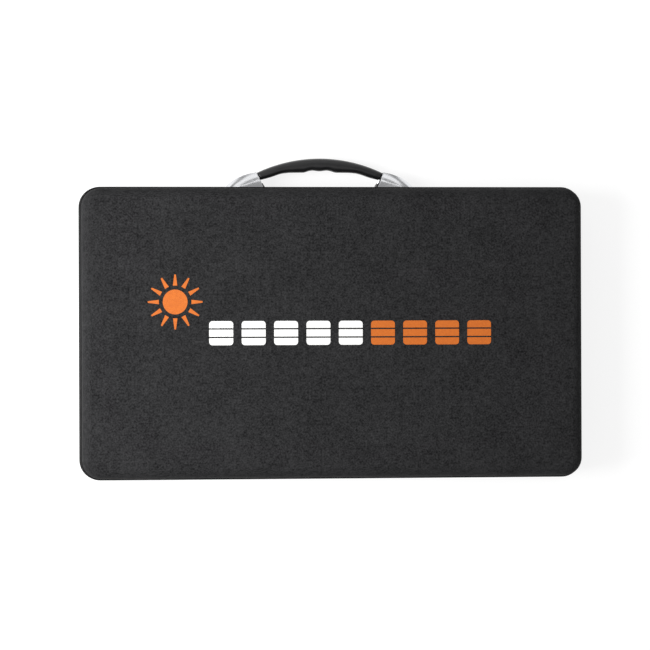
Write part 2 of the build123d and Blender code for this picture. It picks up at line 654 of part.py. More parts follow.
def junction_box():
    """A sealed box with a ribbed lid under the backsheet, near the handle side."""
    y = BOX_AT
    body = box(-BOX_X / 2, BOX_X / 2, y - BOX_Y / 2, y + BOX_Y / 2, SHELF_H - BOX_Z, SHELF_H)
    body = fillet(body.edges().filter_by(Axis.Z), 6)
    body = chamfer(body.faces().sort_by(Axis.Z)[0].edges(), 2)
    for k in range(-3, 4):
        body = body - Pos(k * 10, y, SHELF_H - BOX_Z) * Box(2.0, BOX_Y - 24, 1.6)
    for s in (1, -1):
        x, h = s * GLAND_AT, SHELF_H - BOX_Z / 2
        body = body + rod(GLAND_R, (x, y - BOX_Y / 2 - GLAND_OUT, h), (x, y - BOX_Y / 2 + 1, h))
    return body


def place_a(shape):
    """Puts a panel's piece on the lower panel, glass side up."""
    return Pos(0, FRAME_YC, PACK_Z) * shape


def place_b(shape):
    """Puts a panel's piece on the upper panel, turned over on the fold axis."""
    up = Pos(0, FRAME_YC, PACK_Z) * shape
    return up.rotate(Axis((0, FOLD_Y, FOLD_Z), (1, 0, 0)), 180).mirror(
        Plane(origin=(0, FOLD_Y, 0), z_dir=(0, 1, 0))
    )


long_rail, short_rail = rail(PANEL_X, PANEL_Y / 2), Rot(0, 0, 90) * rail(PANEL_Y, PANEL_X / 2)


def lamina(z0, thick):
    """One full-size sheet of the laminate."""
    return rounded(SHEET_X / 2, SHEET_Y / 2, 2.0, z0, z0 + thick)


def hinge_leaf(half):
    """One leaf of a fold hinge with its knuckles: half 1 is the lower panel's, -1 the upper panel's."""
    third = HINGE_WIDE / 3
    ends, middle = [(-HINGE_WIDE / 2, -third / 2), (third / 2, HINGE_WIDE / 2)], [(-third / 2, third / 2)]
    ranges = ends if half > 0 else middle
    y0, y1 = FRAME_Y0 - LEAF_THICK, FRAME_Y0
    near, far = FOLD_Z - half * 1.2, FOLD_Z - half * LEAF_HIGH
    leaf = box(-HINGE_WIDE / 2, HINGE_WIDE / 2, y0, y1, *sorted((near - half * 3.2, far)))
    for x0, x1 in ranges:
        x0, x1 = x0 + KNUCKLE_GAP / 2, x1 - KNUCKLE_GAP / 2
        knuckle = rod(BARREL_R, (x0, FOLD_Y, FOLD_Z), (x1, FOLD_Y, FOLD_Z))
        neck = box(x0, x1, FOLD_Y, y1, *sorted((FOLD_Z - half * 0.6, near - half * 4)))
        leaf = leaf + knuckle + neck
    return leaf - rod(FOLD_PIN_R + PIN_CLEAR, (-HINGE_WIDE, FOLD_Y, FOLD_Z), (HINGE_WIDE, FOLD_Y, FOLD_Z))


def rivet(x, z):
    """A dome-headed rivet through a hinge leaf and the frame's wall."""
    y0, y1 = FRAME_Y0 - LEAF_THICK, FRAME_Y0 + FRAME_WALL
    head = rod(RIVET_HEAD_R, (x, y0 - RIVET_HEAD, z), (x, y0, z))
    head = fillet(head.edges().sort_by(Axis.Y)[0], RIVET_HEAD * 0.8)
    tail = rod(RIVET_TAIL_R, (x, y1, z), (x, y1 + RIVET_TAIL, z))
    return head + rod(RIVET_R, (x, y0 - 0.1, z), (x, y1, z)) + tail


hinge_at = (-HINGE_AT_X, HINGE_AT_X)
rivet_x = [at + k * RIVET_PITCH for at in hinge_at for k in (-1, 0, 1)]
for panel, put, half in (("lower", place_a, 1), ("upper", place_b, -1)):
    fold_rail = put(long_rail)
    rivets = []
    leaves = [Pos(at, 0, 0) * hinge_leaf(half) for at in hinge_at]
    z = FOLD_Z - half * RIVET_AT
    for x in rivet_x:
        hole = rod(RIVET_R + PIN_CLEAR, (x, FOLD_Y, z), (x, FRAME_Y0 + FRAME_WALL + 0.5, z))
        fold_rail = fold_rail - hole
        leaves = [leaf - hole for leaf in leaves]
        rivets.append(rivet(x, z))
    handle_rail = put(mirror(long_rail, Plane.XZ))
    save(f"{panel}_frame_rails", fold_rail, handle_rail, put(short_rail), put(mirror_x(short_rail)))
    save(f"{panel}_corner_keys", *[put(k) for k in four(corner_key())])
    save(f"{panel}_corner_caps", *[put(k) for k in four(corner_cap())])
    save(f"{panel}_backsheet", put(lamina(SHELF_H, BACKSHEET)))
    save(f"{panel}_cell_strings", *[put(c) for c in cells() + ribbons()])
    save(f"{panel}_glass", put(lamina(SHELF_H + BACKSHEET + CELL_THICK + RIBBON_THICK, GLASS)))
    save(f"{panel}_junction_box", put(junction_box()))
    save(f"{panel}_legs", *[put(c) for c in leg_pair()])
    brackets, bolts = leg_mounts()
    save(f"{panel}_leg_mounts", *[put(c) for c in brackets + bolts])
    save(f"{panel}_hinge_leaves", *leaves, *rivets)
half_hinge = HINGE_WIDE / 2
fold_pins = [rod(FOLD_PIN_R, (at - half_hinge, FOLD_Y, FOLD_Z), (at + half_hinge, FOLD_Y, FOLD_Z)) for at in hinge_at]
save("fold_pins", *fold_pins)
bumper = rod(BUMPER_R, (0, 0, FRAME_DEEP), (0, 0, FRAME_DEEP + BUMPER_HIGH))
bumper_x, bumper_y = PANEL_X / 2 - FRAME_LIP / 2, PANEL_Y / 2 - BUMPER_FROM_END
save("frame_bumpers", *[place_a(b) for b in four(Pos(bumper_x, -bumper_y, 0) * bumper)])


# ---------------------------------------------------------------- panel handle and latches
def strap_handle():
    """A flat rubber strap handle, bowed out from the lower panel's rail."""
    half, bow, thick = 62.0, 17.0, 3.0
    out, inn = half - 9, half - 13
    strap = make_face(
        [
            ThreePointArc((-out, thick), (0, bow), (out, thick)),
            Line((out, thick), (inn, 0)),
            ThreePointArc((inn, 0), (0, bow - thick), (-inn, 0)),
            Line((-inn, 0), (-out, thick)),
        ]
    )
    for s in (1, -1):
        strap += Pos(s * (half - 5), thick / 2) * Rectangle(17, thick)
    return Pos(0, FRAME_Y1, PACK_Z + 8) * extrude(strap, 18)


def strap_clamps():
    """A steel plate over each end of the strap handle, held by two rivets."""
    clamps = []
    for s in (1, -1):
        x0, x1 = sorted((s * 55.5, s * 65.5))
        clamp = box(x0, x1, FRAME_Y1 + 3.0, FRAME_Y1 + 4.4, PACK_Z + 7, PACK_Z + 27)
        clamp = fillet(clamp.edges().filter_by(Axis.Y), 2)
        x = (x0 + x1) / 2
        for z in (PACK_Z + 12, PACK_Z + 22):
            clamp = clamp + rod(2.6, (x, FRAME_Y1 + 4.3, z), (x, FRAME_Y1 + 5.4, z))
        clamps.append(clamp)
    return clamps


save("panel_handle", strap_handle())
save("panel_handle_clamps", *strap_clamps())

LATCH_PIVOT = (FRAME_Y1 + 6.0, PACK_Z + 17.0)
KEEPER_Z = FOLD_Z + PANEL_GAP / 2 + 12.0


def latch_bracket():
    """A plate with two ears on the lower panel's rail, which hold a latch's pivot pin."""
    y, z = LATCH_PIVOT
    half = LATCH_WIDE / 2
    plate = box(-half - 3, half + 3, FRAME_Y1, FRAME_Y1 + 1.5, z - 11, z + 11)
    for s in (1, -1):
        x0, x1 = sorted((s * (half + 0.3), s * (half + 2.3)))
        ear = box(x0, x1, FRAME_Y1 + 1, y + 3.4, z - 5, z + 5)
        plate = plate + fillet(ear.edges().filter_by(Axis.X).group_by(Axis.Y)[-1], 3.2)
    return plate - rod(LATCH_PIN_R + PIN_CLEAR, (-half - 5, y, z), (half + 5, y, z))


def latch_hasp():
    """A pivoting hasp whose hooked end catches the keeper when it is swung in."""
    y, z = LATCH_PIVOT
    half = LATCH_WIDE / 2
    top = KEEPER_Z + 4.6
    arm = box(-half, half, y - 0.9, y + 0.9, z, top)
    hook = box(-half, half, y - 3.3, y + 0.9, top - 1.8, top)
    barrel = rod(3.0, (-half, y, z), (half, y, z))
    thumb = box(-half, half, y - 0.9, y + 0.9, z - 6.5, z)
    hasp = arm + hook + barrel + thumb - rod(LATCH_PIN_R + PIN_CLEAR, (-half - 1, y, z), (half + 1, y, z))
    return hasp.rotate(Axis((0, y, z), (1, 0, 0)), -LATCH_OPEN)


def keeper():
    """The catch on the upper panel's rail."""
    half = LATCH_WIDE / 2 - 3
    plate = box(-half - 3, half + 3, FRAME_Y1, FRAME_Y1 + 1.5, KEEPER_Z - 9, KEEPER_Z + 9)
    lug = box(-half, half, FRAME_Y1 + 1, FRAME_Y1 + 4.6, KEEPER_Z - 1.5, KEEPER_Z + 1.5)
    return plate + lug


latch_x = ((-LATCH_AT_X, "left"), (LATCH_AT_X, "right"))
save("latch_brackets", *[Pos(x, 0, 0) * latch_bracket() for x, _ in latch_x])
save("latch_keepers", *[Pos(x, 0, 0) * keeper() for x, _ in latch_x])
pin_half = LATCH_WIDE / 2 + 3.0
latch_pin = rod(LATCH_PIN_R, (-pin_half, *LATCH_PIVOT), (pin_half, *LATCH_PIVOT))
save("latch_pins", *[Pos(x, 0, 0) * latch_pin for x, _ in latch_x])
for x, name in latch_x:
    save(f"latch_hasp_{name}", Pos(x, 0, 0) * latch_hasp())

# ---------------------------------------------------------------- charge controller
# It sits on the upper panel's back.
CONTROLLER_YC = -40.0
controller_z0 = SHELF_H - CONTROLLER_Z
cx, cy = CONTROLLER_X / 2, CONTROLLER_Y / 2
case = box(-cx, cx, CONTROLLER_YC - cy, CONTROLLER_YC + cy, controller_z0, SHELF_H)
case = fillet(case.edges().filter_by(Axis.Z), 5)
case = chamfer(case.faces().sort_by(Axis.Z)[0].edges(), 2)
window = box(-46, 2, CONTROLLER_YC - 2, CONTROLLER_YC + 26, controller_z0 - 1, controller_z0 + 1.2)
case = case - window
button_xy = [(18 + 14 * k, CONTROLLER_YC + 12) for k in range(3)]
for x, y in button_xy:
    case = case - rod(BUTTON_R + 0.15, (x, y, controller_z0 - 1), (x, y, controller_z0 + 5))
terminal_y = CONTROLLER_YC - cy + 9
case = case - box(-54, 54, CONTROLLER_YC - cy - 1, terminal_y + 7, controller_z0 - 1, controller_z0 + 13)
save("controller_case", place_b(case))
display_y = (CONTROLLER_YC - 1.8, CONTROLLER_YC + 25.8)
save("controller_display", place_b(box(-45.8, 1.8, *display_y, controller_z0 + 0.2, controller_z0 + 1.2)))
block_y = (CONTROLLER_YC - cy, terminal_y + 6.8)
block = box(-53.8, 53.8, *block_y, controller_z0 + 1.0, controller_z0 + 13)
terminal_screws = []
for k in range(6):
    x = (k - 2.5) * 17.6
    block = block - rod(4.0, (x, terminal_y, controller_z0), (x, terminal_y, controller_z0 + 8))
    entry_z = controller_z0 + 9.5
    block = block - rod(WIRE_ENTRY_R, (x, block_y[0] - 1, entry_z), (x, block_y[0] + 6, entry_z))
    screw = rod(3.4, (x, terminal_y, controller_z0 + 5.5), (x, terminal_y, controller_z0 + 8))
    slot = Pos(x, terminal_y, controller_z0 + 5.5) * Box(6.0, 1.0, 2.2)
    terminal_screws.append(screw - slot)
save("controller_terminals", *[place_b(s) for s in (block, *terminal_screws)])
for k, (x, y) in enumerate(button_xy):
    knob = rod(BUTTON_R, (x, y, controller_z0 - BUTTON_PROUD), (x, y, controller_z0 + 4))
    knob = fillet(knob.edges().sort_by(Axis.Z)[0], 0.8)
    save(f"controller_button_{k + 1}", place_b(knob))

print("spine axis y, z", SPINE_Y, PARTING_Z)
print("fold axis y, z", FOLD_Y, FOLD_Z, "frame y", FRAME_Y0, FRAME_Y1)
print("latch pivot y, z", LATCH_PIVOT, "keeper z", KEEPER_Z)
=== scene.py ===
"""Solar suitcase kit: the looks of a zipped, cloth-covered carry case and of the folding solar panels in it.

All lengths are in metres. The case lies on its back: X runs along it, +Y points to the handle, and +Z out of
the lid.
"""

import math

import bmesh
import bpy
import numpy as np
from mathutils import Matrix, Vector


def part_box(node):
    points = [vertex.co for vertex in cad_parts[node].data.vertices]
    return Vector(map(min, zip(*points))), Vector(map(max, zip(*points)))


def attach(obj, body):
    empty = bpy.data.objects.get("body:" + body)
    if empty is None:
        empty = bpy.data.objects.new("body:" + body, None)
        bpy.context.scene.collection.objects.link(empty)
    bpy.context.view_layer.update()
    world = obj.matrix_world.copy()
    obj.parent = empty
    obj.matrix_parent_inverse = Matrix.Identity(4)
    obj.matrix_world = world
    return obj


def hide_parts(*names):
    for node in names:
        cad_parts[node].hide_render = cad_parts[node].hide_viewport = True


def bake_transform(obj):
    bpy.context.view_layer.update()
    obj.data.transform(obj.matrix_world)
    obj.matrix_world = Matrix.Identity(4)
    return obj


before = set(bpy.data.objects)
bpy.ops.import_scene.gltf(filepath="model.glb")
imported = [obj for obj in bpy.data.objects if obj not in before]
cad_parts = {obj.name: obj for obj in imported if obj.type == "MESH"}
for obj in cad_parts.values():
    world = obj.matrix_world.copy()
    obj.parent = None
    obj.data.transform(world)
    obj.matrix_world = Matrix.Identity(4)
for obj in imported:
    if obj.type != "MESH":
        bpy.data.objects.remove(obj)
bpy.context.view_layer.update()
MM = 0.001

# ---------------------------------------------------------------- sizes
CORNER_R = 31 * MM  # of the piping's outline
PIPING_R = 2.4 * MM
WELT_PAST_WALL = 3 * MM  # how far the piping's outline stands past the shells' walls
WALL = 4 * MM
FACE_R = 14 * MM  # rounding between a wall and a face
CROWN = 2.2 * MM  # how far the lid's middle stands above its edges
RIM_Z = 58 * MM  # height of the zip's centre line
SPINE_HALF = 300 * MM
COIL_PITCH, COIL_R, COIL_WIRE_R = 2.0 * MM, 1.35 * MM, 0.42 * MM


# ---------------------------------------------------------------- mesh helpers
def new_piece(name, points, faces, uv=None, smooth=True):
    """An object at the origin from arrays of points and faces; uv is one pair for each point."""
    mesh = bpy.data.meshes.new(name)
    mesh.from_pydata([tuple(p) for p in points.tolist()], [], [tuple(f) for f in faces])
    if uv is not None:
        corner_point = np.empty(len(mesh.loops), dtype=np.int32)
        mesh.loops.foreach_get("vertex_index", corner_point)
        layer = mesh.uv_layers.new(name="cloth")
        layer.data.foreach_set("uv", uv[corner_point].astype(np.float32).ravel())
    mesh.polygons.foreach_set("use_smooth", [smooth] * len(mesh.polygons))
    mesh.update()
    piece = bpy.data.objects.new(name, mesh)
    bpy.context.scene.collection.objects.link(piece)
    return piece


def grid_faces(rows, columns, close_rows=False, close_columns=False):
    """Quads of a grid of points numbered row by row, wrapped round in either direction if asked."""
    row = np.arange(rows if close_rows else rows - 1)
    column = np.arange(columns if close_columns else columns - 1)
    r, c = np.meshgrid(row, column, indexing="ij")
    r2, c2 = (r + 1) % rows, (c + 1) % columns
    quads = [r * columns + c, r * columns + c2, r2 * columns + c2, r2 * columns + c]
    return np.stack(quads, axis=-1).reshape(-1, 4).tolist()


def face_outwards(piece):
    """Recalculates the normals of a closed piece, so that they point out of it."""
    work = bmesh.new()
    work.from_mesh(piece.data)
    bmesh.ops.remove_doubles(work, verts=work.verts, dist=1e-6)
    bmesh.ops.recalc_face_normals(work, faces=work.faces)
    work.to_mesh(piece.data)
    work.free()


def stadium(half_x, half_y, radius, side_step=0.012, corner_count=14):
    """Core points and outward normals round a rounded rectangle, counter-clockwise from the middle of -Y.

    A point of the outline inset by d is core + normal * (radius - d).
    """
    core_x, core_y = half_x - radius, half_y - radius
    turn = np.linspace(0, math.pi / 2, corner_count)
    count_x, count_y = (max(3, int(2 * c / side_step) // 2 * 2) for c in (core_x, core_y))
    core, angle = [], []
    corners = [(core_x, -core_y, -90), (core_x, core_y, 0), (-core_x, core_y, 90), (-core_x, -core_y, 180)]
    sides = [(count_x // 2, 0.5), (count_y, 0.0), (count_x, 0.0), (count_y, 0.0), (count_x // 2, 0.0)]
    starts = [(-core_x, -core_y), (core_x, -core_y), (core_x, core_y), (-core_x, core_y), (-core_x, -core_y)]
    ends = starts[1:] + [(core_x, -core_y)]
    for k, ((count, begin), start, end) in enumerate(zip(sides, starts, ends)):
        last = 0.5 if k == 4 else 1.0
        share = np.linspace(begin, last, count + 1)[1:-1] if k else np.linspace(begin, last, count + 1)[:-1]
        line = np.outer(1 - share, start) + np.outer(share, end)
        core.append(line)
        angle.append(np.full(len(line), math.radians(-90 + 90 * k)))
        if k < 4:
            x, y, from_angle = corners[k]
            core.append(np.tile([x, y], (corner_count, 1)))
            angle.append(math.radians(from_angle) + turn)
    core, angle = np.vstack(core), np.concatenate(angle)
    return core, np.stack([np.cos(angle), np.sin(angle)], axis=1)


def arc(centre, radius, start, end, count):
    """Points of an arc in an (inset, height) profile, with its angles in degrees."""
    turn = np.radians(np.linspace(start, end, count))
    return np.stack([centre[0] + radius * np.cos(turn), centre[1] + radius * np.sin(turn)], axis=1)


def sweep_ring(name, half_x, half_y, profile, closed_profile=True, gap=None):
    """Carries an (inset, height) profile round the case's outline, as core + normal * (corner radius - inset).

    With a gap, the hinge side stays open for |x| < gap.
    """
    core, normal = stadium(half_x, half_y, CORNER_R)
    along = core + normal * CORNER_R
    if gap is not None:
        core, normal = cut_for_spine(core, normal, gap)
        along = core + normal * CORNER_R
    inset, height = profile[:, 0], profile[:, 1]
    flat = core[:, None, :] + normal[:, None, :] * (CORNER_R - inset)[None, :, None]
    z = np.broadcast_to(height[None, :, None], (*flat.shape[:2], 1))
    points = np.concatenate([flat, z], axis=2).reshape(-1, 3)
    distance = np.concatenate([[0], np.cumsum(np.linalg.norm(np.diff(along, axis=0), axis=1))])
    across = np.concatenate([[0], np.cumsum(np.linalg.norm(np.diff(profile, axis=0), axis=1))])
    uv = np.stack(np.meshgrid(distance, across, indexing="ij"), axis=-1).reshape(-1, 2)
    faces = grid_faces(len(core), len(profile), close_rows=gap is None, close_columns=closed_profile)
    if gap is not None and closed_profile:
        count = len(profile)
        faces += [list(range(count)), list(range(len(points) - count, len(points)))]
    piece = new_piece(name, points, faces, uv)
    if closed_profile:
        face_outwards(piece)
    return piece


def cut_for_spine(core, normal, gap):
    """Leaves out the stretch |x| < gap of the hinge side, and ends exactly there."""
    on_spine = (normal[:, 1] < -0.999) & (np.abs(core[:, 0]) < gap)
    core, normal = core[~on_spine], normal[~on_spine]
    first, last = np.array([[gap, core[0, 1]]]), np.array([[-gap, core[0, 1]]])
    down = np.array([[0.0, -1.0]])
    return np.vstack([first, core, last]), np.vstack([down, normal, down])


# ---------------------------------------------------------------- material helpers
def linear(hex_colour):
    """An sRGB hex colour as linear red, green, blue and alpha."""
    parts = [int(hex_colour[i : i + 2], 16) / 255 for i in (1, 3, 5)]
    return (*[p / 12.92 if p <= 0.04045 else ((p + 0.055) / 1.055) ** 2.4 for p in parts], 1.0)


def new_material(name):
    """A material with a plain shader, its node tree and that shader."""
    made = bpy.data.materials.new(name)
    made.use_nodes = True
    return made, made.node_tree, made.node_tree.nodes["Principled BSDF"]


def wire(tree, node, inputs):
    """Gives a node's inputs, by name or number, a value or a link from the socket that feeds them."""
    for key, value in inputs.items():
        if isinstance(value, bpy.types.NodeSocket):
            tree.links.new(value, node.inputs[key])
        else:
            node.inputs[key].default_value = value


def add(tree, kind, inputs=None, **settings):
    """Adds a node of that kind with its settings and links, and gives its outputs."""
    node = tree.nodes.new("ShaderNode" + kind)
    for key, value in settings.items():
        setattr(node, key, value)
    wire(tree, node, inputs or {})
    return node.outputs


def weave(tree, place, pitch):
    """A plain weave's height, 0 to 1: the sine along one thread direction times the sine along the other."""
    axes = add(tree, "SeparateXYZ", {0: place})
    per_metre = 2 * math.pi / pitch
    turns = [add(tree, "Math", {0: axes[k], 1: per_metre}, operation="MULTIPLY")[0] for k in (0, 1)]
    waves = [add(tree, "Math", {0: turn}, operation="SINE")[0] for turn in turns]
    woven = add(tree, "Math", {0: waves[0], 1: waves[1]}, operation="MULTIPLY")[0]
    return add(tree, "MapRange", {"Value": woven, "From Min": -1, "From Max": 1})[0]


# ---------------------------------------------------------------- materials
def case_polyester():
    """600-denier polyester, woven and heat-laminated on the moulded shell: charcoal, matte, faintly mottled.

    Its threads are 0.6 mm apart. They are drawn 2.4 mm apart, so that the weave shows, and slubs of several
    threads give the mottle.
    """
    made, tree, shader = new_material("case_polyester")
    place = add(tree, "UVMap", uv_map="cloth")[0]
    threads = weave(tree, place, 2.4 * MM)
    slubs = add(tree, "TexNoise", {"Vector": place, "Scale": 1 / (2.9 * MM), "Detail": 2,
                                   "Roughness": 0.55})[0]
    patches = add(tree, "TexNoise", {"Vector": place, "Scale": 1 / (9 * MM), "Detail": 2})[0]
    broad = add(tree, "TexNoise", {"Vector": place, "Scale": 1 / (60 * MM), "Detail": 1})[0]
    # Slubs, patches, broad drifts and threads add up to the mottle, in this order of strength.
    mottle = add(tree, "Math", {0: threads, 1: 0.06, 2: -0.03}, operation="MULTIPLY_ADD")[0]
    for pattern, strength in ((broad, 0.12), (patches, 0.26), (slubs, 0.62)):
        mottle = add(tree, "Math", {0: pattern, 1: strength, 2: mottle}, operation="MULTIPLY_ADD")[0]
    depth = add(tree, "MapRange", {"Value": mottle, "From Min": 0.36, "From Max": 0.64})[0]
    colour = add(tree, "Mix", {0: depth, 6: linear("#0f0f10"), 7: linear("#303031")}, data_type="RGBA")[2]
    rough = add(tree, "MapRange", {"Value": slubs, "From Min": 0.3, "From Max": 0.7, "To Min": 0.62,
                                   "To Max": 0.82})[0]
    cloth = add(tree, "Math", {0: slubs, 1: 1.6, 2: threads}, operation="MULTIPLY_ADD")[0]
    relief = add(tree, "Bump", {"Height": cloth, "Distance": 0.4 * MM, "Strength": 0.7})[0]
    wire(tree, shader, {"Base Color": colour, "Roughness": rough, "Normal": relief,
                        "Specular IOR Level": 0.07, "Sheen Weight": 0.01, "Sheen Roughness": 0.4})
    return made


def lining_tricot():
    """Brushed tricot lining on foam: dark grey, soft, with a low nap."""
    made, tree, shader = new_material("lining_tricot")
    place = add(tree, "TexCoord")["Object"]
    nap = add(tree, "TexNoise", {"Vector": place, "Scale": 1 / (1.6 * MM), "Detail": 4,
                                 "Roughness": 0.7})[0]
    cloud = add(tree, "TexNoise", {"Vector": place, "Scale": 1 / (22 * MM), "Detail": 2})[0]
    colour = add(tree, "Mix", {0: cloud, 6: linear("#343537"), 7: linear("#434447")}, data_type="RGBA")[2]
    relief = add(tree, "Bump", {"Height": nap, "Distance": 0.35 * MM, "Strength": 0.6})[0]
    wire(tree, shader, {"Base Color": colour, "Roughness": 0.95, "Normal": relief, "Sheen Weight": 0.35,
                        "Sheen Roughness": 0.5})
    return made


def piping_vinyl():
    """Extruded vinyl welt: black, satin, with faint marks of the extrusion and the needle."""
    made, tree, shader = new_material("piping_vinyl")
    place = add(tree, "TexCoord")["Object"]
    scuff = add(tree, "TexNoise", {"Vector": place, "Scale": 1 / (9 * MM), "Detail": 4,
                                   "Roughness": 0.6})[0]
    marks = add(tree, "TexNoise", {"Vector": place, "Scale": 1 / (0.8 * MM), "Detail": 2})[0]
    rough = add(tree, "MapRange", {"Value": scuff, "From Min": 0.3, "From Max": 0.7, "To Min": 0.36,
                                   "To Max": 0.52})[0]
    relief = add(tree, "Bump", {"Height": marks, "Distance": 0.05 * MM, "Strength": 0.4})[0]
    wire(tree, shader, {"Base Color": linear("#060607"), "Roughness": rough, "Normal": relief,
                        "Specular IOR Level": 0.12})
    return made


def zip_tape_weave():
    """Woven polyester zip tape: black, ribbed across by its fine twill."""
    made, tree, shader = new_material("zip_tape_weave")
    place = add(tree, "UVMap", uv_map="cloth")[0]
    uneven = add(tree, "TexNoise", {"Vector": place, "Scale": 1 / (3 * MM), "Detail": 2})[0]
    colour = add(tree, "Mix", {0: uneven, 6: linear("#171718"), 7: linear("#222223")}, data_type="RGBA")[2]
    ribs = weave(tree, place, 0.9 * MM)
    relief = add(tree, "Bump", {"Height": ribs, "Distance": 0.12 * MM, "Strength": 0.8})[0]
    wire(tree, shader, {"Base Color": colour, "Roughness": 0.85, "Normal": relief, "Specular IOR Level": 0.2})
    return made


def coil_nylon():
    """Drawn nylon monofilament coil: black, slightly glossy."""
    made, tree, shader = new_material("coil_nylon")
    place = add(tree, "TexCoord")["Object"]
    drawn = add(tree, "TexNoise", {"Vector": place, "Scale": 1 / (0.6 * MM), "Detail": 2})[0]
    rough = add(tree, "MapRange", {"Value": drawn, "To Min": 0.26, "To Max": 0.4})[0]
    relief = add(tree, "Bump", {"Height": drawn, "Distance": 0.03 * MM, "Strength": 0.3})[0]
    wire(tree, shader, {"Base Color": linear("#121213"), "Roughness": rough, "Normal": relief})
    return made


def slider_enamel():
    """Baked black enamel on die-cast zinc: glossy, with worn spots that show grey metal."""
    made, tree, shader = new_material("slider_enamel")
    place = add(tree, "TexCoord")["Object"]
    wear = add(tree, "TexNoise", {"Vector": place, "Scale": 1 / (1.8 * MM), "Detail": 5,
                                  "Roughness": 0.7})[0]
    worn = add(tree, "MapRange", {"Value": wear, "From Min": 0.64, "From Max": 0.7})[0]
    colour = add(tree, "Mix", {0: worn, 6: linear("#19191a"), 7: linear("#6d6e70")}, data_type="RGBA")[2]
    relief = add(tree, "Bump", {"Height": wear, "Distance": 0.03 * MM, "Strength": 0.3})[0]
    wire(tree, shader, {"Base Color": colour, "Metallic": worn, "Roughness": 0.26, "Normal": relief})
    return made


def satin_chrome():
    """Satin chrome plate on die-cast zinc: bright, with a very fine polishing grain."""
    made, tree, shader = new_material("satin_chrome")
    place = add(tree, "TexCoord")["Object"]
    grain = add(tree, "TexNoise", {"Vector": place, "Scale": 1 / (0.7 * MM), "Detail": 3})[0]
    cloud = add(tree, "TexNoise", {"Vector": place, "Scale": 1 / (11 * MM), "Detail": 3})[0]
    colour = add(tree, "Mix", {0: cloud, 6: linear("#d2d3d6"), 7: linear("#e2e3e5")}, data_type="RGBA")[2]
    rough = add(tree, "MapRange", {"Value": cloud, "From Min": 0.3, "From Max": 0.7, "To Min": 0.15,
                                   "To Max": 0.24})[0]
    relief = add(tree, "Bump", {"Height": grain, "Distance": 0.01 * MM, "Strength": 0.2})[0]
    wire(tree, shader, {"Base Color": colour, "Metallic": 1.0, "Roughness": rough, "Normal": relief})
    return made


def moulded_nylon():
    """Injection-moulded black nylon with a fine spark-eroded texture."""
    made, tree, shader = new_material("moulded_nylon")
    place = add(tree, "TexCoord")["Object"]
    eroded = add(tree, "TexNoise", {"Vector": place, "Scale": 1 / (0.9 * MM), "Detail": 3,
                                    "Roughness": 0.6})[0]
    cloud = add(tree, "TexNoise", {"Vector": place, "Scale": 1 / (14 * MM), "Detail": 2})[0]
    rough = add(tree, "MapRange", {"Value": cloud, "From Min": 0.3, "From Max": 0.7, "To Min": 0.43,
                                   "To Max": 0.59})[0]
    colour = add(tree, "Mix", {0: cloud, 6: linear("#171718"), 7: linear("#1e1e1f")}, data_type="RGBA")[2]
    relief = add(tree, "Bump", {"Height": eroded, "Distance": 0.06 * MM, "Strength": 0.5})[0]
    wire(tree, shader, {"Base Color": colour, "Roughness": rough, "Normal": relief})
    return made


def grip_rubber():
    """Soft-touch thermoplastic rubber, moulded matte: black, with a broad dull highlight and faint skin."""
    made, tree, shader = new_material("grip_rubber")
    place = add(tree, "TexCoord")["Object"]
    skin = add(tree, "TexNoise", {"Vector": place, "Scale": 1 / (0.8 * MM), "Detail": 3,
                                  "Roughness": 0.6})[0]
    smear = add(tree, "TexNoise", {"Vector": place, "Scale": 1 / (17 * MM), "Detail": 3})[0]
    colour = add(tree, "Mix", {0: smear, 6: linear("#111112"), 7: linear("#171718")}, data_type="RGBA")[2]
    rough = add(tree, "MapRange", {"Value": smear, "From Min": 0.3, "From Max": 0.7, "To Min": 0.32,
                                   "To Max": 0.42})[0]
    relief = add(tree, "Bump", {"Height": skin, "Distance": 0.06 * MM, "Strength": 0.5})[0]
    wire(tree, shader, {"Base Color": colour, "Roughness": rough, "Normal": relief})
    return made


def plated_steel(name, dull, bright, roughness):
    """Bright zinc plate on pressed steel: cool grey, with a cloudy passivated skin and light scratches."""
    made, tree, shader = new_material(name)
    place = add(tree, "TexCoord")["Object"]
    cloud = add(tree, "TexNoise", {"Vector": place, "Scale": 1 / (6 * MM), "Detail": 4,
                                   "Roughness": 0.6})[0]
    scratch = add(tree, "TexNoise", {"Vector": place, "Scale": 1 / (1.1 * MM), "Detail": 4})[0]
    colour = add(tree, "Mix", {0: cloud, 6: linear(dull), 7: linear(bright)}, data_type="RGBA")[2]
    rough = add(tree, "MapRange", {"Value": cloud, "From Min": 0.3, "From Max": 0.7,
                                   "To Min": roughness - 0.08,
                                   "To Max": roughness + 0.12})[0]
    relief = add(tree, "Bump", {"Height": scratch, "Distance": 0.02 * MM, "Strength": 0.4})[0]
    wire(tree, shader, {"Base Color": colour, "Metallic": 1.0, "Roughness": rough, "Normal": relief})
    return made


def anodised_aluminium():
    """Natural anodised extrusion: pale satin metal with fine die lines along it."""
    made, tree, shader = new_material("anodised_aluminium")
    place = add(tree, "TexCoord")["Object"]
    drawn_out = add(tree, "Mapping", {"Vector": place, "Scale": (0.06, 0.06, 1.0)})[0]
    lines = add(tree, "TexNoise", {"Vector": drawn_out, "Scale": 1 / (0.5 * MM), "Detail": 2})[0]
    cloud = add(tree, "TexNoise", {"Vector": place, "Scale": 1 / (30 * MM), "Detail": 2})[0]
    colour = add(tree, "Mix", {0: cloud, 6: linear("#9d9fa2"), 7: linear("#aeb0b3")}, data_type="RGBA")[2]
    rough = add(tree, "MapRange", {"Value": lines, "From Min": 0.3, "From Max": 0.7, "To Min": 0.32,
                                   "To Max": 0.46})[0]
    relief = add(tree, "Bump", {"Height": lines, "Distance": 0.02 * MM, "Strength": 0.3})[0]
    wire(tree, shader, {"Base Color": colour, "Metallic": 1.0, "Roughness": rough, "Normal": relief})
    return made


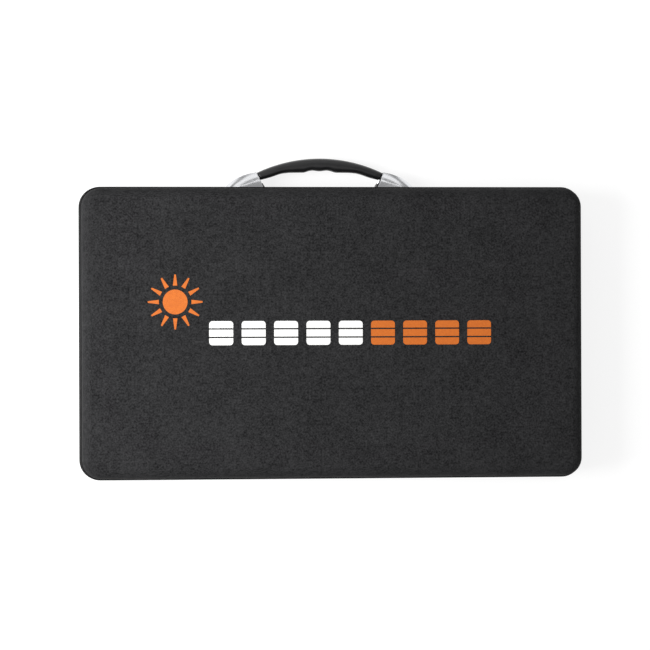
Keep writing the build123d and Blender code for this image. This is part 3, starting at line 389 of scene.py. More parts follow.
def solar_glass():
    """Low-iron tempered glass, rolled with a faint pattern: nearly clear, with a clean gloss."""
    made, tree, shader = new_material("solar_glass")
    place = add(tree, "TexCoord")["Object"]
    rolled = add(tree, "TexNoise", {"Vector": place, "Scale": 1 / (3.5 * MM), "Detail": 1})[0]
    relief = add(tree, "Bump", {"Height": rolled, "Distance": 0.03 * MM, "Strength": 0.25})[0]
    wire(tree, shader, {"Base Color": linear("#12201d"), "Roughness": 0.05, "Normal": relief, "Alpha": 0.1})
    return made


def silicon_cell():
    """Monocrystalline silicon under encapsulant: blue-black, with printed silver fingers across each cell.

    Real fingers are 0.05 mm wide and about 2 mm apart. They are drawn 0.3 mm wide, so that they show.
    """
    made, tree, shader = new_material("silicon_cell")
    place = add(tree, "TexCoord")["Object"]
    along = add(tree, "SeparateXYZ", {0: place})[0]
    step = add(tree, "Math", {0: along, 1: 1 / (2.4 * MM)}, operation="MULTIPLY")[0]
    part = add(tree, "Math", {0: step}, operation="FRACT")[0]
    finger = add(tree, "Math", {0: part, 1: 0.12}, operation="LESS_THAN")[0]
    shade = add(tree, "TexNoise", {"Vector": place, "Scale": 1 / (60 * MM), "Detail": 1})[0]
    crystal = add(tree, "Mix", {0: shade, 6: linear("#070c20"), 7: linear("#0e1738")}, data_type="RGBA")[2]
    colour = add(tree, "Mix", {0: finger, 6: crystal, 7: linear("#2c3550")}, data_type="RGBA")[2]
    wire(tree, shader, {"Base Color": colour, "Roughness": 0.3, "Coat Weight": 1.0, "Coat Roughness": 0.05})
    return made


def tinned_ribbon():
    """Tinned copper ribbon: flat, bright grey, slightly uneven."""
    made, tree, shader = new_material("tinned_ribbon")
    place = add(tree, "TexCoord")["Object"]
    uneven = add(tree, "TexNoise", {"Vector": place, "Scale": 1 / (2.5 * MM), "Detail": 2})[0]
    colour = add(tree, "Mix", {0: uneven, 6: linear("#9b9ea2"), 7: linear("#adb0b4")}, data_type="RGBA")[2]
    relief = add(tree, "Bump", {"Height": uneven, "Distance": 0.05 * MM, "Strength": 0.5})[0]
    wire(tree, shader, {"Base Color": colour, "Metallic": 1.0, "Roughness": 0.4, "Normal": relief,
                        "Coat Weight": 1.0, "Coat Roughness": 0.05})
    return made


def backsheet_film():
    """White laminate film: smooth, slightly warm, with the cells' faint print-through."""
    made, tree, shader = new_material("backsheet_film")
    place = add(tree, "TexCoord")["Object"]
    cloud = add(tree, "TexNoise", {"Vector": place, "Scale": 1 / (35 * MM), "Detail": 2})[0]
    waves = add(tree, "TexNoise", {"Vector": place, "Scale": 1 / (12 * MM), "Detail": 2})[0]
    colour = add(tree, "Mix", {0: cloud, 6: linear("#c2c3c1"), 7: linear("#cfd0ce")}, data_type="RGBA")[2]
    relief = add(tree, "Bump", {"Height": waves, "Distance": 0.08 * MM, "Strength": 0.4})[0]
    wire(tree, shader, {"Base Color": colour, "Roughness": 0.45, "Normal": relief, "Coat Weight": 1.0,
                        "Coat Roughness": 0.06})
    return made


def screen_print(name, thick_ink, thin_ink):
    """Flat plastisol screen print on cloth: opaque and matte; the cloth's weave shows faintly through it."""
    made, tree, shader = new_material(name)
    place = add(tree, "TexCoord")["Object"]
    ink = add(tree, "TexNoise", {"Vector": place, "Scale": 1 / (3 * MM), "Detail": 3})[0]
    thin = add(tree, "MapRange", {"Value": ink, "From Min": 0.3, "From Max": 0.7})[0]
    colour = add(tree, "Mix", {0: thin, 6: linear(thick_ink), 7: linear(thin_ink)}, data_type="RGBA")[2]
    threads = weave(tree, place, 1.1 * MM)
    relief = add(tree, "Bump", {"Height": threads, "Distance": 0.08 * MM, "Strength": 0.5})[0]
    wire(tree, shader, {"Base Color": colour, "Roughness": 0.6, "Normal": relief})
    return made


def lcd_window():
    """Unlit liquid-crystal display behind a clear window: grey-green, glossy, with faint unlit bars."""
    made, tree, shader = new_material("lcd_window")
    place = add(tree, "TexCoord")["Object"]
    along = add(tree, "SeparateXYZ", {0: place})[0]
    step = add(tree, "Math", {0: along, 1: 1 / (6 * MM)}, operation="MULTIPLY")[0]
    part = add(tree, "Math", {0: step}, operation="FRACT")[0]
    bar = add(tree, "Math", {0: part, 1: 0.6}, operation="LESS_THAN")[0]
    colour = add(tree, "Mix", {0: bar, 6: linear("#808c79"), 7: linear("#78836f")}, data_type="RGBA")[2]
    wire(tree, shader, {"Base Color": colour, "Roughness": 0.12, "Coat Weight": 1.0})
    return made


def key_silicone():
    """Moulded silicone keys: mid grey, matte."""
    made, tree, shader = new_material("key_silicone")
    place = add(tree, "TexCoord")["Object"]
    skin = add(tree, "TexNoise", {"Vector": place, "Scale": 1 / (0.7 * MM), "Detail": 2})[0]
    colour = add(tree, "Mix", {0: skin, 6: linear("#696c6f"), 7: linear("#75787b")}, data_type="RGBA")[2]
    relief = add(tree, "Bump", {"Height": skin, "Distance": 0.03 * MM, "Strength": 0.4})[0]
    wire(tree, shader, {"Base Color": colour, "Roughness": 0.6, "Normal": relief})
    return made


def light_table():
    """Opal acrylic of a light table: white, matte, and lit from below, so that shadows stay pale."""
    made, tree, shader = new_material("light_table")
    place = add(tree, "TexCoord")["Object"]
    grain = add(tree, "TexNoise", {"Vector": place, "Scale": 1 / (3 * MM), "Detail": 2})[0]
    relief = add(tree, "Bump", {"Height": grain, "Distance": 0.02 * MM, "Strength": 0.2})[0]
    wire(tree, shader, {"Base Color": linear("#8c8c8c"), "Roughness": 0.85, "Normal": relief,
                        "Emission Color": (1, 1, 1, 1), "Emission Strength": 0.8})
    return made


CLOTH, LINING, VINYL = case_polyester(), lining_tricot(), piping_vinyl()
TAPE, COIL, ENAMEL = zip_tape_weave(), coil_nylon(), slider_enamel()
CHROME, NYLON, RUBBER = satin_chrome(), moulded_nylon(), grip_rubber()
ZINC = plated_steel("zinc_plate", "#96989b", "#b9bbbe", 0.36)
SPRING = plated_steel("spring_steel", "#86888b", "#a2a4a7", 0.42)
ALUMINIUM, GLASS = anodised_aluminium(), solar_glass()
CELL, RIBBON, BACKSHEET = silicon_cell(), tinned_ribbon(), backsheet_film()
WHITE = screen_print("print_white", "#e0e0de", "#d6d6d4")
ORANGE = screen_print("print_orange", "#bc5f07", "#b05603")
LCD, KEY = lcd_window(), key_silicone()


def finish(piece, made, slot, body, *replaced):
    """Gives a new piece its material and its body, and hides the CAD nodes that it stands for. The slot is not
    used.
    """
    if not piece.data.materials:
        piece.data.materials.append(made)
    if replaced:
        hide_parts(*replaced)
    if body:
        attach(piece, body)
    return piece


# ---------------------------------------------------------------- case shells
shell_low, shell_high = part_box("base_shell")
lid_low, lid_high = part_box("lid_shell")
WALL_X, WALL_Y = shell_high.x, shell_high.y
PIPED_X, PIPED_Y = WALL_X + WELT_PAST_WALL, WALL_Y + WELT_PAST_WALL
WAVE_HIGH = 0.16 * MM  # of each slow wave in the lid's cloth
RIM_ROUND = 1.2 * MM  # height of the rounded rim
BELLY = 0.5 * MM  # how far a wall bows out halfway up
ROUND_RINGS, WALL_RINGS = 9, 6  # rings of points round the rounded edge and down the wall


def crown_at(x, y):
    """Height of the lid's face above its edges: a dome with two slow waves, where the cloth isn't quite even.

    The dome is one minus the square of the share of the half length, times the same for the half width.
    """
    dome = np.clip(1 - (x / WALL_X) ** 2, 0, 1) * np.clip(1 - (y / WALL_Y) ** 2, 0, 1)
    waves = WAVE_HIGH * (np.sin(x * 31 + y * 17) + np.sin(y * 43 - x * 11 + 1.3))
    return dome * (CROWN + waves)


def shell_piece(name, face_z, rim_z, crowned, body, replaced):
    """A moulded tray as one closed skin: rings of points run from the face's middle over the rounded edge,
    down the wall, round the rim and back along the lining to the middle of the inside.

    A ring on the face is the outline inset by d until d is nearly the corner radius, and from there the last
    ring shrunk towards the middle.
    """
    out = 1 if face_z > rim_z else -1
    radius = CORNER_R - WELT_PAST_WALL
    core, normal = stadium(WALL_X, WALL_Y, radius, 0.014, 16)
    deepest = 0.92 * radius

    def side(wall, face_r):
        """Insets, heights and shrinkages of one side's rings, from the middle of its face to the rim."""
        face = face_z - out * wall
        shares = np.linspace(0, 1, 15)[1:] ** 0.8
        flat = np.linspace(deepest, wall + face_r, 6)[1:]
        turn = np.radians(np.linspace(90, 0, ROUND_RINGS + 1))[1:]
        round_inset = wall + face_r - face_r * np.cos(turn)
        round_height = face - out * (face_r - face_r * np.sin(turn))
        wall_end = rim_z + out * RIM_ROUND
        down = np.linspace(face - out * face_r, wall_end, WALL_RINGS + 1)[1:]
        inset = np.concatenate([np.full(len(shares), deepest), flat, round_inset, np.full(len(down), wall)])
        height = np.concatenate([np.full(len(shares) + len(flat), face), round_height, down])
        shrink = np.concatenate([shares, np.ones(len(inset) - len(shares))])
        return inset, height, shrink

    outside, inside = side(0.0, FACE_R), side(WALL, FACE_R - WALL)
    rim_turn = np.radians(np.linspace(0, 180, 7))[1:-1]
    rim_r = WALL / 2
    rim_height = rim_z + out * RIM_ROUND * (1 - np.sin(rim_turn))
    rim = (rim_r - rim_r * np.cos(rim_turn), rim_height, np.ones(len(rim_turn)))
    inset, height, shrink = (np.concatenate([a, b, c[::-1]]) for a, b, c in zip(outside, rim, inside))
    flat = (core[None] + normal[None] * (radius - inset)[:, None, None]) * shrink[:, None, None]
    x, y = flat[..., 0], flat[..., 1]
    z = np.broadcast_to(height[:, None], x.shape).copy()
    outer_rings, count = len(outside[0]), len(core)
    outer = (np.arange(len(inset)) < outer_rings)[:, None]
    # The crown fades out down the wall, from its full height at the face to none at two fifths of the depth.
    lift = crown_at(x, y) if crowned else np.zeros_like(x)
    depth = abs(face_z - rim_z)
    z += out * lift * np.clip((np.abs(z - rim_z) - 0.4 * depth) / (0.6 * depth - WALL), 0, 1)
    # The walls bow out between the rounded edge and the rim.
    belly = BELLY * np.sin(np.pi * np.clip(np.abs(z - rim_z) / depth, 0, 1)) * outer
    x, y = x + normal[None, :, 0] * belly, y + normal[None, :, 1] * belly
    points = np.stack([x, y, z], axis=-1).reshape(-1, 3)
    rise = float(crown_at(0.0, 0.0)) if crowned else 0.0
    middle = [[0, 0, face_z + out * rise], [0, 0, face_z - out * (WALL - rise)]]
    # Cloth coordinates: the flat place plus the outward normal times the way run down from the face.
    fall, run_in = (np.abs(np.diff(v, prepend=v[0])) for v in (height, inset))
    step = fall + run_in * (shrink == 1)
    run = np.cumsum(step)
    run = np.where(np.arange(len(inset)) < outer_rings + len(rim[0]), run, run[-1] - run)
    drop = np.clip(run - run[outer_rings - ROUND_RINGS - WALL_RINGS - 1], 0, None)
    cloth = flat + normal[None] * (drop * 0.8)[:, None, None]
    uv = np.vstack([cloth.reshape(-1, 2), [[0, 0], [0, 0]]])
    points = np.vstack([points, middle])
    faces = grid_faces(len(inset), count, close_columns=True)
    first, last, tail = len(points) - 2, len(points) - 1, (len(inset) - 1) * count
    faces += [[first, (k + 1) % count, k] for k in range(count)]
    faces += [[last, tail + k, tail + (k + 1) % count] for k in range(count)]
    piece = new_piece(name, points, faces, uv)
    piece.data.materials.append(CLOTH)
    piece.data.materials.append(LINING)
    lined = np.zeros(len(piece.data.polygons), dtype=np.int32)
    lined[(outer_rings + len(rim[0]) - 2) * count : (len(inset) - 1) * count] = 1
    lined[-count:] = 1
    piece.data.polygons.foreach_set("material_index", lined)
    if out < 0:
        piece.data.flip_normals()
    return finish(piece, CLOTH, "case_cloth", body, *replaced)


shell_piece("lid_skin", lid_high.z, lid_low.z, True, "case_lid", ["lid_shell"])
shell_piece("base_skin", shell_low.z, shell_high.z, False, "case_base", ["base_shell"])


# ---------------------------------------------------------------- piping, zip and spine
WELT_TAPE = 3 * MM  # height of the sewn tape behind the welt's bead
TAPE_THICK = 0.8 * MM
ZIP_GAP = 0.5 * MM  # between the spine's ends and the zip's
FOLD_HIGH, FOLD_DEEP = 10 * MM, 3.2 * MM  # of the spine's outward fold


def piping_piece(name, node_name, body):
    """A round welt on a flat sewn tape, carried round the rim."""
    low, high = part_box(node_name)
    middle = (low.z + high.z) / 2
    bead = arc((PIPING_R, middle), PIPING_R, 40, 320, 15)
    tape_inset = 2 * PIPING_R + 0.3 * MM
    profile = np.vstack([bead, [[tape_inset, middle - WELT_TAPE / 2], [tape_inset, middle + WELT_TAPE / 2]]])
    return finish(sweep_ring(name, PIPED_X, PIPED_Y, profile), VINYL, "edge_piping", body, node_name)


piping_piece("base_welt", "base_piping", "case_base")
piping_piece("lid_welt", "lid_piping", "case_lid")


def zip_piece(half, body, side):
    """A woven tape on the wall's inside with a nylon coil along its edge; side is -1 below the parting line.

    The coil is a helix round a line that follows the tape: outward times cosine plus height times sine.
    """
    low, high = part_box(f"{half}_zip_half")
    inset = WELT_PAST_WALL + WALL
    near, far = RIM_Z + side * 0.4 * MM, low.z if side < 0 else high.z
    back = inset + TAPE_THICK
    tape_profile = np.array([[inset, near], [inset, far], [back, far], [back, near]])
    tape = sweep_ring(f"{half}_zip_cloth", PIPED_X, PIPED_Y, tape_profile, gap=SPINE_HALF + ZIP_GAP)
    finish(tape, TAPE, "zip_tape", body, f"{half}_zip_half")
    core, normal = cut_for_spine(*stadium(PIPED_X, PIPED_Y, CORNER_R, 4 * MM, 30), SPINE_HALF + ZIP_GAP)
    line = core + normal * (CORNER_R - inset + COIL_R - 0.15 * MM)
    distance = np.concatenate([[0], np.cumsum(np.linalg.norm(np.diff(line, axis=0), axis=1))])
    turns, per_turn, sides = int(distance[-1] / COIL_PITCH), 8, 5
    along = np.linspace(0, distance[-1], turns * per_turn + 1)
    place = np.stack([np.interp(along, distance, line[:, k]) for k in (0, 1)], axis=1)
    out = np.stack([np.interp(along, distance, normal[:, k]) for k in (0, 1)], axis=1)
    out /= np.linalg.norm(out, axis=1)[:, None]
    turn = 2 * np.pi * along / COIL_PITCH
    outward = np.column_stack([out, np.zeros(len(out))])
    upward = np.array([0.0, 0.0, 1.0])
    centre = np.column_stack([place, np.full(len(place), RIM_Z + side * (0.3 * MM + COIL_R))])
    path = centre + COIL_R * (np.cos(turn)[:, None] * outward + np.sin(turn)[:, None] * upward)
    tangent = np.gradient(path, axis=0)
    tangent /= np.linalg.norm(tangent, axis=1)[:, None]
    first = np.cross(tangent, np.column_stack([-out[:, 1], out[:, 0], np.zeros(len(out))]))
    first /= np.linalg.norm(first, axis=1)[:, None]
    second = np.cross(tangent, first)
    spin = 2 * np.pi * np.arange(sides) / sides
    circle = np.cos(spin)[None, :, None] * first[:, None] + np.sin(spin)[None, :, None] * second[:, None]
    points = (path[:, None] + COIL_WIRE_R * circle).reshape(-1, 3)
    faces = grid_faces(len(path), sides, close_columns=True)
    faces += [list(range(sides)), list(range(len(points) - sides, len(points)))]
    coil = new_piece(f"{half}_zip_coil", points, faces)
    face_outwards(coil)
    finish(coil, COIL, "zip_tape", body)


zip_piece("base", "case_base", -1)
zip_piece("lid", "case_lid", 1)


def spine_piece():
    """The strip of case cloth that joins the shells: a shallow outward fold between the two welts."""
    fold_y = -PIPED_Y - 0.3 * MM
    half_high = FOLD_HIGH / 2
    t = np.linspace(-1, 1, 15)
    y = fold_y + FOLD_DEEP * np.abs(t) ** 2.2
    profile = np.stack([y, RIM_Z + half_high * t], axis=1)
    inner = profile + np.array([TAPE_THICK, 0])
    section = np.vstack([profile, inner[::-1]])
    x = np.linspace(-SPINE_HALF, SPINE_HALF, 61)
    grid_x = np.broadcast_to(x[:, None], (len(x), len(section)))
    points = np.stack([grid_x, *(np.broadcast_to(section[:, k], grid_x.shape) for k in (0, 1))], axis=-1)
    around = np.concatenate([[0], np.cumsum(np.linalg.norm(np.diff(section, axis=0), axis=1))])
    uv = np.stack([grid_x, np.broadcast_to(around, grid_x.shape)], axis=-1).reshape(-1, 2)
    count = len(section)
    faces = grid_faces(len(x), count, close_columns=True)
    faces += [list(range(count)), list(range(len(x) * count - count, len(x) * count))]
    piece = new_piece("spine_cloth", points.reshape(-1, 3), faces, uv)
    face_outwards(piece)
    finish(piece, CLOTH, "case_cloth", None, "base_spine", "lid_spine")
    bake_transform(piece)


spine_piece()


# ---------------------------------------------------------------- pads
PAD_ROLL = 6 * MM  # width of the rounded edge
PAD_CORNER_R = 12.5 * MM
CHANNEL_HALF = 3.5 * MM  # half the width of a sewn channel
CHANNELS_X, CHANNELS_Y = 6, 4  # fields between the channels, along and across


def pad_piece(name, node_name, up, body):
    """A foam pad under brushed lining: crowned between sewn channels, round-edged, flat where it is glued.

    Its height is the pad's thickness times an edge profile, less a dip along each channel.
    """
    low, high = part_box(node_name)
    half_x, half_y = high.x - 0.5 * MM, high.y - 0.5 * MM
    thick = high.z - low.z
    core, normal = stadium(half_x, half_y, PAD_CORNER_R, 8 * MM, 12)
    deepest = 0.9 * PAD_CORNER_R
    insets = np.concatenate([np.linspace(0, 1, 6)[1:] ** 2 * PAD_ROLL, np.linspace(PAD_ROLL, deepest, 5)[1:]])
    shares = np.linspace(1, 0, 41)[1:-1]
    inset = np.concatenate([[0, 0], insets, np.full(len(shares), deepest)])
    shrink = np.concatenate([np.ones(2 + len(insets)), shares])
    flat = (core[None] + normal[None] * (PAD_CORNER_R - inset)[:, None, None]) * shrink[:, None, None]
    x, y = flat[..., 0], flat[..., 1]
    edge = np.clip(inset / PAD_ROLL, 0, 1)
    rise = np.sqrt(1 - (1 - edge) ** 2)[:, None] * np.ones_like(x)
    pitches = ((x, 2 * half_x / CHANNELS_X), (y, 2 * half_y / CHANNELS_Y))
    dips = [np.exp(-(((v / p + 0.5) % 1 - 0.5) * p / CHANNEL_HALF) ** 2) for v, p in pitches]
    height = thick * rise * (0.94 - 0.3 * np.clip(dips[0] + dips[1], 0, 1))
    height[0] = 0
    height[1] = thick * 0.25
    base_z, way = (low.z, 1) if up else (high.z, -1)
    points = np.stack([x, y, base_z + way * height], axis=-1).reshape(-1, 3)
    count = len(core)
    points = np.vstack([points, [[0, 0, base_z + way * thick * 0.64], [0, 0, base_z]]])
    faces = grid_faces(len(inset), count, close_columns=True)
    tail, top, bottom = (len(inset) - 1) * count, len(points) - 2, len(points) - 1
    faces += [[top, tail + k, tail + (k + 1) % count] for k in range(count)]
    faces += [[bottom, (k + 1) % count, k] for k in range(count)]
    piece = new_piece(name, points, faces)
    face_outwards(piece)
    finish(piece, LINING, "pad_foam", body, node_name)


pad_piece("base_quilt", "base_pad", True, "case_base")
pad_piece("lid_quilt", "lid_pad", False, "case_lid")


# ---------------------------------------------------------------- print on the lid
PRINT_LIFT = 0.25 * MM  # of the ink's face above the cloth
TILE, TILE_PITCH, TILE_GROOVE, TILE_ROUND = 37 * MM, 50 * MM, 2.2 * MM, 5 * MM
BAR_ROUND = 0.4 * MM  # of a bar's corners beside a groove
WHITE_TILES, ORANGE_TILES = 5, 4
SUN = np.array([-246, 48]) * MM  # its middle
SUN_R, RAY_FROM, RAY_TO, RAYS = 19 * MM, 25 * MM, 42 * MM, 12
RAY_WIDE, RAY_NARROW = 6.8 * MM, 2.4 * MM


def print_piece(name, outlines, made, slot, node_name):
    """Flat shapes laid on the crowned lid: each outline is one face with a low edge down to the cloth."""
    points, faces = [], []
    for outline in outlines:
        start, count = len(points), len(outline)
        x, y = outline[:, 0], outline[:, 1]
        z = lid_high.z + crown_at(x, y)
        points += np.column_stack([x, y, z + PRINT_LIFT]).tolist()
        points += np.column_stack([x, y, z - PRINT_LIFT]).tolist()
        faces.append(list(range(start, start + count)))
        faces.append(list(range(start + 2 * count - 1, start + count - 1, -1)))
        faces += [[start + k, start + count + k, start + count + (k + 1) % count, start + (k + 1) % count]
                  for k in range(count)]
    piece = new_piece(name, np.array(points), faces, smooth=False)
    return finish(piece, made, slot, "case_lid", node_name)


def bar_outlines(centre, size, groove, radius):
    """A rounded square parted into three bars by two grooves."""
    turn = np.linspace(0, np.pi / 2, 7)
    half, bar = size / 2, (size - 2 * groove) / 3
    bars = []
    for k in (-1, 0, 1):
        low, high = centre[1] + k * (bar + groove) - bar / 2, centre[1] + k * (bar + groove) + bar / 2
        corners = []
        for x_sign, y_edge, start in ((1, low, -90), (1, high, 0), (-1, high, 90), (-1, low, 180)):
            outer = (k == -1 and y_edge == low) or (k == 1 and y_edge == high)
            r = radius if outer else BAR_ROUND
            inward = 1 if y_edge == low else -1
            middle = np.array([centre[0] + x_sign * (half - r), y_edge + inward * r])
            angle = math.radians(start) + turn
            corners.append(middle + r * np.stack([np.cos(angle), np.sin(angle)], axis=1))
        bars.append(np.vstack(corners))
    return bars


def sun_outlines(centre, radius, ray_from, ray_to, rays):
    """A disc and tapered rays round it."""
    turn = np.linspace(0, 2 * np.pi, 48, endpoint=False)
    shapes = [centre + radius * np.stack([np.cos(turn), np.sin(turn)], axis=1)]
    wide, narrow = RAY_WIDE / 2, RAY_NARROW / 2
    ray = np.array([[ray_from, -wide], [ray_to, -narrow], [ray_to, narrow], [ray_from, wide]])
    for angle in np.arange(rays) * 2 * np.pi / rays:
        c, s = math.cos(angle), math.sin(angle)
        shapes.append(centre + ray @ np.array([[c, s], [-s, c]]))
    return shapes


first_tile = SUN[0] + RAY_TO + TILE / 2 + 10 * MM
tile_places = [(first_tile + k * TILE_PITCH, 0.0) for k in range(WHITE_TILES + ORANGE_TILES)]
tiles = [bar_outlines(place, TILE, TILE_GROOVE, TILE_ROUND) for place in tile_places]
white_shapes = sum(tiles[:WHITE_TILES], [])
orange_shapes = sun_outlines(SUN, SUN_R, RAY_FROM, RAY_TO, RAYS) + sum(tiles[WHITE_TILES:], [])
print_piece("tiles_white", white_shapes, WHITE, "print_white", "lid_print_white")
print_piece("sun_and_tiles_orange", orange_shapes, ORANGE, "print_orange", "lid_print_orange")


# ---------------------------------------------------------------- carry handle
HANDLE_X, HANDLE_Z = -14 * MM, 29 * MM
GRIP_R, GRIP_TOP, GRIP_HALF = 227.6 * MM, 48.1 * MM, 98.0 * MM  # top line's radius, height, half chord
GRIP_END_WIDE, GRIP_MORE_WIDE = 17 * MM, 7 * MM  # at its ends, and how much more in the middle
GRIP_SQUARENESS = 2.35  # power of the superellipse
TUCK = 1.2 * MM  # rounding of its ends
COVER_IN, COVER_TIP = 87.5 * MM, 147.7 * MM  # the foot's ends at the wall, from the handle's middle
COVER_HALF, COVER_WALL = 14.5 * MM, 0.9 * MM
SHOULDER = 112 * MM  # where the foot starts to narrow towards its tip


def underside_at(u):
    """Height of the grip's underside: two shallow finger scallops in the middle, then a fall to its ends."""
    bend_u = np.array([0, 4, 11, 18, 23, 26, 47, 58, 66, 74, 84, 92, 100]) * MM
    bend_v = np.array([28.2, 28.6, 29.6, 28.4, 26.5, 26.1, 25.9, 24.8, 22.6, 19.6, 16.7, 14.8, 13.4]) * MM
    return np.interp(np.abs(u), bend_u, bend_v)


def grip_piece():
    """The soft grip: superellipse sections square to an arc that is its top line.

    Their height runs from that arc to the underside's line, and their width swells towards the middle.
    """
    end_turn = math.asin(GRIP_HALF / GRIP_R)
    turn = np.linspace(-end_turn, end_turn, 141)
    thick = np.full_like(turn, 15 * MM)
    for _ in range(30):
        under = underside_at((GRIP_R - thick) * np.sin(turn))
        thick = GRIP_R - (under - (GRIP_TOP - GRIP_R)) / np.cos(turn)
    kernel = np.hanning(7)[1:-1]
    thick = np.convolve(np.pad(thick, 2, mode="edge"), kernel / kernel.sum(), mode="valid")
    swell = np.cos(turn / end_turn * np.pi / 2) ** 0.7
    wide = GRIP_END_WIDE + GRIP_MORE_WIDE * swell
    along = (turn + end_turn) * GRIP_R
    from_end = np.minimum(along, along[::-1])
    rounded = np.sqrt(np.clip(1 - (1 - from_end / TUCK) ** 2, 0, 1))
    shape = np.where(from_end < TUCK, 0.93 + 0.07 * rounded, 1.0)
    angle = np.linspace(0, 2 * np.pi, 40, endpoint=False)
    power = 2 / GRIP_SQUARENESS
    across = np.sign(np.cos(angle)) * np.abs(np.cos(angle)) ** power
    upright = np.sign(np.sin(angle)) * np.abs(np.sin(angle)) ** power
    middle_r = GRIP_R - thick / 2
    r = middle_r[:, None] + upright[None] * (thick / 2 * shape)[:, None]
    x = HANDLE_X + r * np.sin(turn)[:, None]
    y = WALL_Y + GRIP_TOP - GRIP_R + r * np.cos(turn)[:, None]
    z = HANDLE_Z + across[None] * (wide / 2 * shape)[:, None]
    points = np.stack([x, y, z], axis=-1).reshape(-1, 3)
    count = len(angle)
    end_x, end_y = middle_r[0] * math.sin(end_turn), middle_r[0] * math.cos(end_turn)
    ends = [[HANDLE_X + s * end_x, WALL_Y + GRIP_TOP - GRIP_R + end_y, HANDLE_Z] for s in (-1, 1)]
    points = np.vstack([points, ends])
    faces = grid_faces(len(turn), count, close_columns=True)
    tail, first, last = (len(turn) - 1) * count, len(points) - 2, len(points) - 1
    faces += [[first, (k + 1) % count, k] for k in range(count)]
    faces += [[last, tail + k, tail + (k + 1) % count] for k in range(count)]
    piece = new_piece("soft_grip", points, faces)
    face_outwards(piece)
    finish(piece, RUBBER, "soft_grip", "carry_handle", "handle_grip")


grip_piece()


def cover_piece(name, hand, node_name):
    """A plated foot cover: sections fanned from its sloping inner end to its tip.

    Each section runs from the foot's edge at the wall up to the ridge. Its lower flank is nearly upright up to
    a crease, its upper flank leans in to the ridge, and both bow out by a sine of the way across them.
    """
    ridge_u = np.array([99.5, 111, 121.5, 130.5, 139.0, 144.3, 146.7, 147.7]) * MM
    ridge_v = np.array([27.0, 24.6, 21.0, 16.6, 11.0, 6.0, 2.8, 0.3]) * MM
    way = np.concatenate([[0], np.cumsum(np.hypot(np.diff(ridge_u), np.diff(ridge_v)))])
    share = np.linspace(0, 1, 49)
    bend = np.polyfit(way / way[-1], np.column_stack([ridge_u, ridge_v]), 5)
    top_u, top_v = (np.polyval(bend[:, k], share) for k in (0, 1))
    top_v = np.clip(top_v, 0.25 * MM, None)
    base_u = COVER_IN + (COVER_TIP - COVER_IN) * share ** 0.97
    narrowing = np.clip((base_u - SHOULDER) / (COVER_TIP + 0.1 * MM - SHOULDER), 0, 1) ** 2.2
    half = COVER_HALF * np.sqrt(1 - narrowing) + 0.15 * MM
    crease = 0.47 - 0.19 * share
    crease_half = half * 0.9
    ridge_half = half * (0.4 - 0.26 * share)
    up, wide = [], []
    for q in (0.0, 0.3, 0.6, 0.85):
        up.append(crease * q)
        wide.append(half + (crease_half - half) * q + 0.25 * MM * np.sin(np.pi * q) * half / COVER_HALF)
    for q in (0.0, 0.04, 0.12, 0.3, 0.5, 0.7, 0.86, 0.95):
        up.append(crease + (0.985 - crease) * q)
        bow = 1.1 * MM * np.sin(np.pi * q) * half / COVER_HALF
        wide.append(crease_half + (ridge_half - crease_half) * q + bow)
    up += [np.full_like(share, 0.985), np.full_like(share, 0.997)]
    wide += [ridge_half, ridge_half * 0.6]
    up, wide = np.stack(up, axis=1), np.stack(wide, axis=1)
    up = np.hstack([up, np.ones((len(share), 1)), up[:, ::-1]])
    wide = np.hstack([wide, np.zeros((len(share), 1)), -wide[:, ::-1]])
    u = base_u[:, None] + (top_u - base_u)[:, None] * up
    points = np.stack([HANDLE_X + hand * u, WALL_Y + top_v[:, None] * up, HANDLE_Z + wide], axis=-1)
    piece = new_piece(name, points.reshape(-1, 3), grid_faces(len(share), up.shape[1]))
    if hand > 0:
        piece.data.flip_normals()
    piece.data.set_sharp_from_angle(angle=math.radians(9))  # the crease stays crisp
    wall = piece.modifiers.new("wall", "SOLIDIFY")
    wall.thickness = COVER_WALL
    wall.offset = -1
    return finish(piece, CHROME, "plated_foot", "case_base", node_name)


cover_piece("foot_cover_left", -1, "handle_cover_left")
cover_piece("foot_cover_right", 1, "handle_cover_right")

# ---------------------------------------------------------------- solar cells
CELL_X, CELL_Y, CELL_SPACE, CELL_CUT = 76 * MM, 86 * MM, 2 * MM, 5 * MM
CELL_COLUMNS, CELL_ROWS = 9, 4
RIBBON_WIDE, RIBBON_THICK, LINK_WIDE = 1.8 * MM, 0.2 * MM, 4.5 * MM


def prisms(name, outline, places, low, high):
    """The same flat outline raised from low to high at each of many places."""
    count, copies = len(outline), len(places)
    flat = places[:, None, :] + outline[None]
    levels = [np.concatenate([flat, np.full((copies, count, 1), z)], axis=2) for z in (low, high)]
    points = np.stack(levels, axis=1).reshape(-1, 3)
    ring = np.arange(count)
    faces = []
    for start in range(0, copies * 2 * count, 2 * count):
        faces.append((start + ring[::-1]).tolist())
        faces.append((start + count + ring).tolist())
        after = (ring + 1) % count
        faces += (start + np.stack([ring, after, count + after, count + ring], axis=1)).tolist()
    return new_piece(name, points, faces, smooth=False)


def rectangle(half_x, half_y):
    """Corners of a rectangle, counter-clockwise."""
    return np.array([[-half_x, -half_y], [half_x, -half_y], [half_x, half_y], [-half_x, half_y]])


